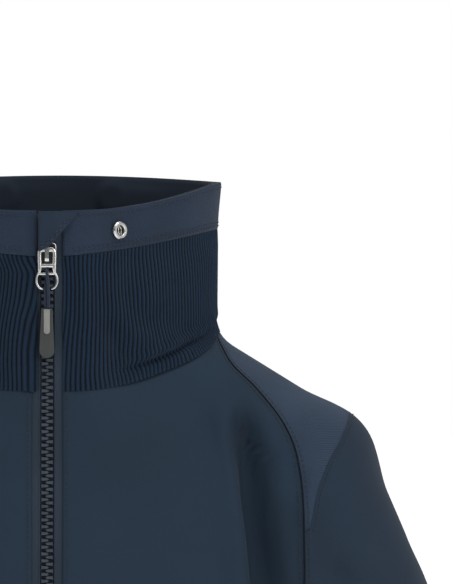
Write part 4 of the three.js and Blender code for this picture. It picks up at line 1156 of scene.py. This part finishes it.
def build_seams():
    """A near-black round bar along the raglan seams, with stitching along them and the other seams."""
    for side, sign in SIDES:
        runs = []
        for face in (-1, 1):
            line = settle(worn_form, evenly(smooth_line(RAGLAN[face], 12), 150))[:-12]
            place = flipped(on_cloth(worn_form, line, 0.1), sign)
            name = f"raglan_dark_bar_{'front' if face < 0 else 'back'}_{side}"
            sweep(name, *place, round_section(0.5, 8, 0.9), DARK_SEAM_BAR)
            for offset in (-2.6, 2.6):
                runs.append(flipped(on_cloth(worn_form, beside(line, worn_form, offset), ON_TOP), sign))
        stitch_row(f"raglan_stitching_{side}", runs, DARK_THREAD)
        seam = settle(worn_form, evenly(smooth_line(SLEEVE_SEAM, 12), 90))
        place = flipped(on_cloth(worn_form, seam, -0.25), sign)
        sweep(f"sleeve_seam_{side}", *place, round_section(0.5, 6, 0.8), SLEEVE_CLOTH)
        edge = flipped(on_cloth(worn_form, beside(seam, worn_form, 2.5), ON_TOP), sign)
        stitch_row(f"sleeve_seam_stitching_{side}", [edge], DARK_THREAD)


def build_edges():
    """Topstitching down the front edges, round the hem and cuffs and along the collar."""
    turn = np.linspace(edge_turn(-630.0) + 2, 358 - edge_turn(-630.0), 260)
    hem = [on_cloth(trunk_form, around(trunk_form, turn, HEM_Z + up), ON_TOP) for up in (20, 23)]
    stitch_row("hem_stitching", hem, DARK_THREAD)
    z = np.linspace(HEM_Z + 6, -2, 340)
    for side, sign in SIDES:
        x = np.full(z.shape, sign * 11.8)
        line = np.stack([x, -zip_depth(z), z], axis=-1)
        stitch_row(f"front_edge_stitching_{side}", [(line + ZIP_OUTWARD * ON_TOP, ZIP_OUTWARD)], DARK_THREAD)
        turn = np.linspace(0, 2 * math.pi, 90)
        runs = []
        for up in (16, 18.5):
            height = CUFF[1] + up
            centre = mix(CUFF[0], FOREARM[0], up / (FOREARM[1] - CUFF[1]))
            start = np.stack([np.full(90, centre), np.zeros(90), np.full(90, height)], axis=-1)
            direction = np.stack([np.cos(turn), np.sin(turn), 0 * turn], axis=-1)
            runs.append(flipped(on_cloth(arm_form, strike(arm_form, start, direction), ON_TOP), sign))
        stitch_row(f"cuff_stitching_{side}", runs, DARK_THREAD)
    turn = np.linspace(edge_turn(90.0) + 4, 356 - edge_turn(90.0), 420)
    runs = []
    for height in (band_height(turn) + 2.2, band_height(turn) + 4.4, top_height(turn) - 3.2):
        line = around(worn_form, turn, height)
        outward = outward_at(worn_form, line)
        lift = 0.35 * noise(line, 40, 2) + 0.5 + edge_roll(line) * 0.5 + 0.05
        runs.append((line + outward * lift[:, None], outward))
    stitch_row("collar_stitching", runs, DARK_THREAD)


# ---- Zip, in its own frame: x across, y into the cloth, z along the zip ----
ZIP_STRETCH = math.hypot(1, ZIP_LEAN)
ZIP_INWARD = np.array([0, 1, -ZIP_LEAN]) / ZIP_STRETCH
ZIP_ALONG = np.array([0, ZIP_LEAN, 1]) / ZIP_STRETCH


def from_zip(p):
    p = np.asarray(p, float)
    return (
        np.array([0, -zip_depth(0), 0])
        + p[..., :1] * np.array([1.0, 0, 0])
        + p[..., 1:2] * ZIP_INWARD
        + p[..., 2:] * ZIP_ALONG
    )


def rounded_plate(outline, front, back, bevel):
    """A plate from an outline of (x, z), with its front edge chamfered. Returns vertices and faces."""
    outline = np.array(outline, float)
    centre = outline.mean(0)
    size = np.abs(outline - centre).max()
    inset = centre + (outline - centre) * (1 - bevel / size)
    rings = ((inset, front), (outline, front + bevel), (outline, back))
    vertices = np.vstack([np.column_stack([r[:, 0], np.full(len(r), y), r[:, 1]]) for r, y in rings])
    n = len(outline)
    faces = [tuple(range(n)), tuple(range(3 * n - 1, 2 * n - 1, -1))]
    for level in range(2):
        for k in range(n):
            a, b = level * n + k, level * n + (k + 1) % n
            faces.append((a, a + n, b + n, b))
    return vertices, faces


CHAIN_HALF = 3.65
TOOTH_PITCH = 4.12
TOOTH_HALF = 0.95
TEETH_TOP = 92
CHAIN_FRONT = 0.3
CHAIN_BACK = 2.9


def tooth_outline(sign, z):
    shape = ((CHAIN_HALF, -1.3), (2.9, -TOOTH_HALF), (-0.1, -TOOTH_HALF), (-1.35, 0), (-0.1, TOOTH_HALF),
             (2.9, TOOTH_HALF), (CHAIN_HALF, 1.3))  # fmt: skip
    ring = [(sign * x, z + dz) for x, dz in shape]
    return ring if sign < 0 else ring[::-1]


def build_teeth():
    low = (HEM_Z * ZIP_STRETCH) + 15
    for side, sign in SIDES:
        vertices, faces = [], []
        z = low + (TOOTH_PITCH / 2 if sign > 0 else 0)
        while z < TEETH_TOP:
            v, f = rounded_plate(tooth_outline(sign, z), CHAIN_FRONT, CHAIN_BACK, 0.45)
            faces += [tuple(i + len(vertices) for i in face) for face in f]
            vertices += v.tolist()
            z += TOOTH_PITCH
        piece = add_mesh(f"teeth_{side}", from_zip(vertices), faces, TEETH, smooth=False)
        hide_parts(f"zip_teeth_{side}")


def build_tapes():
    z = np.linspace(HEM_Z * ZIP_STRETCH + 3, COLLAR_FRONT_HEIGHT - 2, 300)
    for side, sign in SIDES:
        x = np.concatenate([np.linspace(0.25, 3.6, 6), np.linspace(3.9, 5.2, 6), np.linspace(5.8, 15, 10)])
        x = x if sign > 0 else -x[::-1]
        gx, gz = np.meshgrid(x, z)
        under = CHAIN_BACK - 1.5 + 0.15
        behind = under * (1 - ease(3.6, 4.3, np.abs(gx)))
        swell = 0.7 * np.exp(-(((np.abs(gx) - 4.6) / 0.5) ** 2))
        front = from_zip(np.stack([gx, 1.5 - swell + behind, gz], axis=-1))
        back = from_zip(np.stack([gx, 2.1 + behind, gz], axis=-1))
        piece = cloth_sheet(f"tape_{side}", front, back, TAPE_CLOTH)
        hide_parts(f"zip_tape_{side}")


def edge_soften(node, width, material, segments=2):
    """A CAD solid keeps its shape and gets rounded edges and its finish."""
    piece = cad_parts[node]
    piece.data.materials.clear()
    piece.data.materials.append(material)
    bevel = piece.modifiers.new("edges", "BEVEL")
    bevel.width = width * MM
    bevel.segments = segments
    bevel.limit_method = "ANGLE"
    bevel.angle_limit = math.radians(35)
    for polygon in piece.data.polygons:
        polygon.use_smooth = False


def zip_sweep(name, line, width, height, material, body, scale=1.0, closed=False):
    """A rounded bar along points given in the zip's frame."""
    line = smooth_line(line, 6) if not closed else np.array(line, float)
    angle = np.arange(12) * math.pi / 6
    round_x = np.sign(np.cos(angle)) * np.abs(np.cos(angle)) ** 0.7
    round_y = np.sign(np.sin(angle)) * np.abs(np.sin(angle)) ** 0.7
    section = np.stack([round_x * width / 2, round_y * height / 2], axis=-1)
    return sweep(name, from_zip(line), -ZIP_INWARD, section, material, body, closed, scale)


GARAGE_EDGE = ((-5.2, 85.4), (-4.2, 84.9), (-1.5, 86.2), (4, 90.3), (10.2, 98.2), (15.6, 104.2), (20, 108.6))
GARAGE_TOP = 109.4
GARAGE_LIFT = 10.8
GARAGE_CLOTH = 0.8


def garage_surface(u, v):
    """u runs from the flap's right edge to its left end, v from its slanting edge up to its top."""
    low = np.array(GARAGE_EDGE, float)
    x = mix(-5.2, 20, u)
    edge = np.interp(x, low[:, 0], low[:, 1])
    z = mix(edge, GARAGE_TOP, v)
    bulge = GARAGE_LIFT * np.cos(ease(0, 20, x) * math.pi / 2) + 1.1 * ease(0, 20, x)
    turned = 2.6 * (1 - ease(-5.2, -3.4, x)) ** 2
    hem = 0.35 * np.exp(-(((z - edge) - 1.2) / 1.0) ** 2) - 0.5 * np.exp(-((z - edge) / 0.7) ** 2)
    hollow = 0.8 * np.exp(-(((z - edge) - 9) / 5) ** 2) * ease(-5, 1, x) * ease(20, 12, x)
    return np.stack([x, -(bulge - turned + hem - hollow - 0.6 * ease(105, 110, z)), z], axis=-1)


def build_garage():
    u, v = np.meshgrid(np.linspace(0, 1, 70) ** 1.15, np.linspace(0, 1, 50) ** 1.3)
    front = garage_surface(u, v)
    back = front + (0, GARAGE_CLOTH, 0)
    piece = cloth_sheet("garage_flap", from_zip(front), from_zip(back), GARAGE_FACE)
    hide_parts("zip_garage")
    runs = []
    for above in (2.2, 4.0):
        x = np.linspace(-3.4, 17.5 - above, 40)
        edge = np.interp(x, *np.array(GARAGE_EDGE, float).T)
        share = above / (GARAGE_TOP - edge)
        line = from_zip(garage_surface((x + 5.2) / 25.2, share))
        runs.append((line - ZIP_INWARD * ON_TOP, -ZIP_INWARD))
    stitch_row("garage_stitching", runs, THREAD)


PULL_Y = -3.7
LOWER_BAR = 71.5


def build_pull():
    """A wire-like pull: two flat rails that spread into an open ring, with three bars across."""
    for side, sign in SIDES:
        line = [(1.2, 86.3), (3.4, 86.2), (4.5, 84.6), (4.5, 80), (4.35, 75.5), (4.6, 72.6),
                (5.8, 70.4), (6.35, 67.8), (5.9, 65.2), (4.5, 63.1), (2.5, 62.1)]  # fmt: skip
        points = np.array([(sign * x, PULL_Y, z) for x, z in line])
        share = np.linspace(0, 1, (len(points) - 1) * 6 + 1)
        scale = mix(1.0, 0.5, ease(0.4, 0.62, share)) * mix(1, 0.75, ease(0.9, 1, share))
        zip_sweep(f"pull_rail_{side}", points, 2.4, 1.6, BRIGHT, "pull", scale)
    bars = ((85.6, 1.6, 4.2), (76.4, 2.2, 4.4), (LOWER_BAR, 1.5, 4.6))
    for number, (z, thick, half) in enumerate(bars):
        points = [(-half, PULL_Y, z), (-half / 3, PULL_Y, z), (half / 3, PULL_Y, z), (half, PULL_Y, z)]
        piece = zip_sweep(f"pull_bar_{number}", points, thick, 1.5, BRIGHT, "pull")
    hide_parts("zip_pull")


def build_slider():
    """The slider's front plate, wide at its top, over the CAD slider. The plate is in dark metal as painted
    shade, with a bright rim round it as a painted highlight on its edge.
    """
    right = np.array([
        (0, 91), (3.4, 90.9), (5.2, 89.9), (5.65, 88), (5.5, 84.5),
        (4.9, 80.5), (4.5, 78), (3.4, 77.1), (0, 76.9),
    ])  # fmt: skip
    left = right[1:-1][::-1] * (-1, 1)
    vertices, faces = rounded_plate(np.vstack([right, left]), -1.65, -1.2, 0.3)
    add_mesh("slider_face", from_zip(vertices), faces, SHADED_SLIDER_METAL, "slider", smooth=False)
    # Painted highlight: a bright metal bar round the edge of the dark plate.
    rim = mix((0, 84), np.vstack([right, left]), 0.93)
    points = np.column_stack([rim[:, 0], np.full(len(rim), -1.55), rim[:, 1]])
    zip_sweep("slider_rim_highlight", points, 0.7, 0.5, BRIGHT, "slider", closed=True)


def build_cord():
    """Two strands of braided cord from the pull's lower bar down to the tab, and the loop over the bar."""
    loop = []
    for k in range(9):
        angle = math.pi * k / 8
        loop.append((0, PULL_Y - 1.9 * math.cos(angle), LOWER_BAR + 1.9 * math.sin(angle)))
    down = [(0.95, PULL_Y - 1.0, 50.9), (0.95, PULL_Y - 1.2, 58), (0.75, PULL_Y - 1.7, 66)]
    up = [(-0.75, PULL_Y + 1.2, 66), (-0.95, PULL_Y + 0.5, 58), (-0.95, PULL_Y + 0.2, 50.9)]
    line = smooth_line(np.array(down + [loop[0], loop[2], loop[4], loop[6], loop[8]] + up), 8)
    twist = 1 + 0.04 * np.cos(np.arange(len(line)) * 1.9)
    piece = sweep("cord_loop", from_zip(line), (1.0, 0, 0), round_section(0.95, 10), CORD, "tab", scale=twist)
    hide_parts("pull_cord")


def snap_frame(turn):
    """Where a snap's middle lies on the collar, and its across, up and outward directions."""
    z = top_height(min(turn, 360 - turn)) - SNAP_BELOW_EDGE
    at, left, right, up, down = (
        around(worn_form, turn + dt, z + dz) for dt, dz in ((0, 0), (2, 0), (-2, 0), (0, 3), (0, -3))
    )
    outward = unit(np.cross(left - right, up - down))
    across = unit(left - right)
    return at, across, np.cross(outward, across), outward


def build_snaps():
    """Each socket's sunken floor, its rolled lip and the two wires of its S-shaped spring. The floor and the
    step inside the lip are in a dark metal: painted shade in the socket.
    """
    for place, turn in SNAP_TURNS.items():
        at, across, up, outward = snap_frame(turn)

        def to_world(points):
            points = np.asarray(points, float)
            return at + points[:, :1] * across + points[:, 1:2] * up + points[:, 2:] * outward

        ring = np.arange(40) * math.pi / 20
        circle = np.stack([np.cos(ring), np.sin(ring)], axis=-1)
        for name, radius, depth, wire, metal_kind in (
            ("lip", 3.7, 2.2, 0.62, BRIGHT),
            ("rim", 5.0, 1.75, 0.5, BRIGHT),
            ("step", 3.05, 1.2, 0.5, SOCKET_SHADE_METAL),
        ):  # fmt: skip
            points = np.column_stack([circle * radius, np.full(40, depth)])
            line = to_world(points)
            sweep(f"snap_{name}_{place}", line, outward, round_section(wire, 8), metal_kind, closed=True)
        # The floor in the dark metal of painted shade.
        floor = np.vstack([[(0, 0, 0.65)], np.column_stack([circle * 3.3, np.full(40, 0.55)])])
        base = np.vstack([[(0, 0, 0.3)], np.column_stack([circle * 3.3, np.full(40, 0.3)])])
        faces = [(0, 1 + k, 1 + (k + 1) % 40) for k in range(40)]
        faces += [(41, 42 + (k + 1) % 40, 42 + k) for k in range(40)]
        faces += [(1 + k, 42 + k, 42 + (k + 1) % 40, 1 + (k + 1) % 40) for k in range(40)]
        add_mesh(f"snap_floor_{place}", to_world(np.vstack([floor, base])), faces, SOCKET_SHADE_METAL)
        for side, sign in SIDES:
            bent = [(sign * 1.5, -2.6 * sign, 1.3), (sign * 0.9, -1.4 * sign, 1.4), (sign * 1.1, 0, 1.45),
                    (sign * 0.9, 1.5 * sign, 1.4), (sign * -0.4, 2.5 * sign, 1.3)]  # fmt: skip
            line = to_world(smooth_line(bent, 8))
            sweep(f"snap_spring_{place}_{side}", line, outward, round_section(0.36, 8), BRIGHT)


def build_hardware():
    # The CAD slider in the dark metal of painted shade; its crown in the bright metal.
    edge_soften("zip_slider", 0.35, SHADED_SLIDER_METAL)
    edge_soften("slider_crown", 0.4, BRIGHT)
    for node in ("zip_retainer_box", "zip_retainer_pin", "zip_top_stop_left", "zip_top_stop_right"):
        edge_soften(node, 0.3, TEETH)
    edge_soften("pull_tab", 0.7, TAB_RUBBER, 3)
    edge_soften("tab_inlay", 0.18, INLAY)
    edge_soften("hanger_loop", 0.3, TAPE_CLOTH_SOLID)
    for side, _ in SIDES:
        edge_soften(f"pocket_slider_{side}", 0.8, BRIGHT, 3)
        edge_soften(f"pocket_pull_{side}", 0.4, TAB_RUBBER, 3)
        edge_soften(f"pocket_zip_{side}", 0.3, POCKET_COIL)
        edge_soften(f"cuff_tab_{side}", 0.4, TAPE_CLOTH_SOLID)
    edge_soften("storm_flap", 0.2, POCKET_SOLID)
    for place in SNAP_TURNS:
        edge_soften(f"hood_snap_{place}", 0.25, BRIGHT)
        edge_soften(f"snap_cap_{place}", 0.3, CAP_LACQUER)


# ---- Stage ----
def area_light(name, place, aim, size, power):
    light = bpy.data.lights.new(name, "AREA")
    light.shape = "DISK"
    light.size = size
    light.energy = power
    holder = bpy.data.objects.new(name, light)
    holder.location = place
    holder.rotation_euler = (Vector(aim) - Vector(place)).to_track_quat("-Z", "Y").to_euler()
    bpy.context.scene.collection.objects.link(holder)


PICTURE_CENTRE = (0.1085, 0.0606)  # x and z of the view's middle on the plane of the zip
PICTURE_WIDTH = 0.274
CAMERA_DISTANCE = 2.4
CAMERA_HEIGHT = 0.12
TENT_FRONT = 0.06
TENT_WALL = 0.66
ZIP_PLANE = -0.095
SENSOR = 36
FLOOR_DROP = 0.25  # the floor lies this far under the hem
FLOOR_HALF = 14
FLOOR_GLOW = 0.55


def light_tent(tree):
    """A studio tent: bright walls and ceiling, a dark front and back, and plain white for the camera."""
    n = Tree(tree)
    direction = n.add("SeparateXYZ")
    n.link(n.add("TexCoord").outputs["Generated"], direction.inputs[0])
    wall = n.math("MAXIMUM", n.math("ABSOLUTE", direction.outputs[0]), direction.outputs[2])
    lit = n.add("MapRange", interpolation_type="SMOOTHSTEP")
    n.link(wall, lit.inputs["Value"])
    limits = (("From Min", 0.05), ("From Max", 0.85), ("To Min", TENT_FRONT), ("To Max", TENT_WALL))
    for socket, value in limits:
        lit.inputs[socket].default_value = value
    seen = n.add("LightPath").outputs["Is Camera Ray"]
    strength = n.math("ADD", n.math("MULTIPLY", lit.outputs[0], n.math("SUBTRACT", 1.0, seen)), seen)
    background = tree.nodes["Background"]
    background.inputs["Color"].default_value = (1, 1, 1, 1)
    n.link(strength, background.inputs["Strength"])


def build_stage():
    scene = bpy.context.scene
    scene.view_settings.view_transform = "Standard"
    world = bpy.data.worlds.new("studio")
    world.use_nodes = True
    light_tent(world.node_tree)
    scene.world = world
    area_light("top softbox", (0.25, -0.35, 1.7), (0.05, 0.0, -0.1), 1.3, 12)
    area_light("front softbox", (1.1, -2.1, 0.9), (0.05, 0.0, -0.15), 1.3, 15)
    area_light("back softbox", (-0.6, 1.9, 0.9), (0.0, 0.0, -0.3), 1.5, 14)
    camera = bpy.data.cameras.new("camera")
    camera.sensor_fit = "HORIZONTAL"
    camera.sensor_width = SENSOR
    camera.lens = SENSOR * CAMERA_DISTANCE / PICTURE_WIDTH
    holder = bpy.data.objects.new("camera", camera)
    holder.location = (PICTURE_CENTRE[0], ZIP_PLANE - CAMERA_DISTANCE, CAMERA_HEIGHT)
    tilt = math.atan((CAMERA_HEIGHT - PICTURE_CENTRE[1]) / CAMERA_DISTANCE)
    holder.rotation_euler = (math.pi / 2 - tilt, 0, 0)
    scene.collection.objects.link(holder)
    scene.camera = holder
    mesh = bpy.data.meshes.new("floor")
    low = CAD_BOX[0][2] - FLOOR_DROP
    corners = [(x * FLOOR_HALF, y * FLOOR_HALF, low) for x, y in ((-1, -1), (1, -1), (1, 1), (-1, 1))]
    mesh.from_pydata(corners, [], [(0, 1, 2, 3)])
    floor = bpy.data.objects.new("floor", mesh)
    scene.collection.objects.link(floor)
    n = Nodes("floor")
    tone = n.colours(n.noise(2, 2), ((0.3, (247, 247, 247)), (0.7, (252, 252, 252))))
    floor.data.materials.append(n.finish(tone, 0.9, specular=0.1))
    n.shader.inputs["Emission Color"].default_value = (1, 1, 1, 1)
    n.shader.inputs["Emission Strength"].default_value = FLOOR_GLOW


build_stage()
for build in (
    build_trunk, build_sleeves, build_collar, build_seams, build_edges, build_teeth, build_tapes,
    build_garage, build_pull, build_slider, build_cord, build_snaps, build_hardware,
):  # fmt: skip
    build()
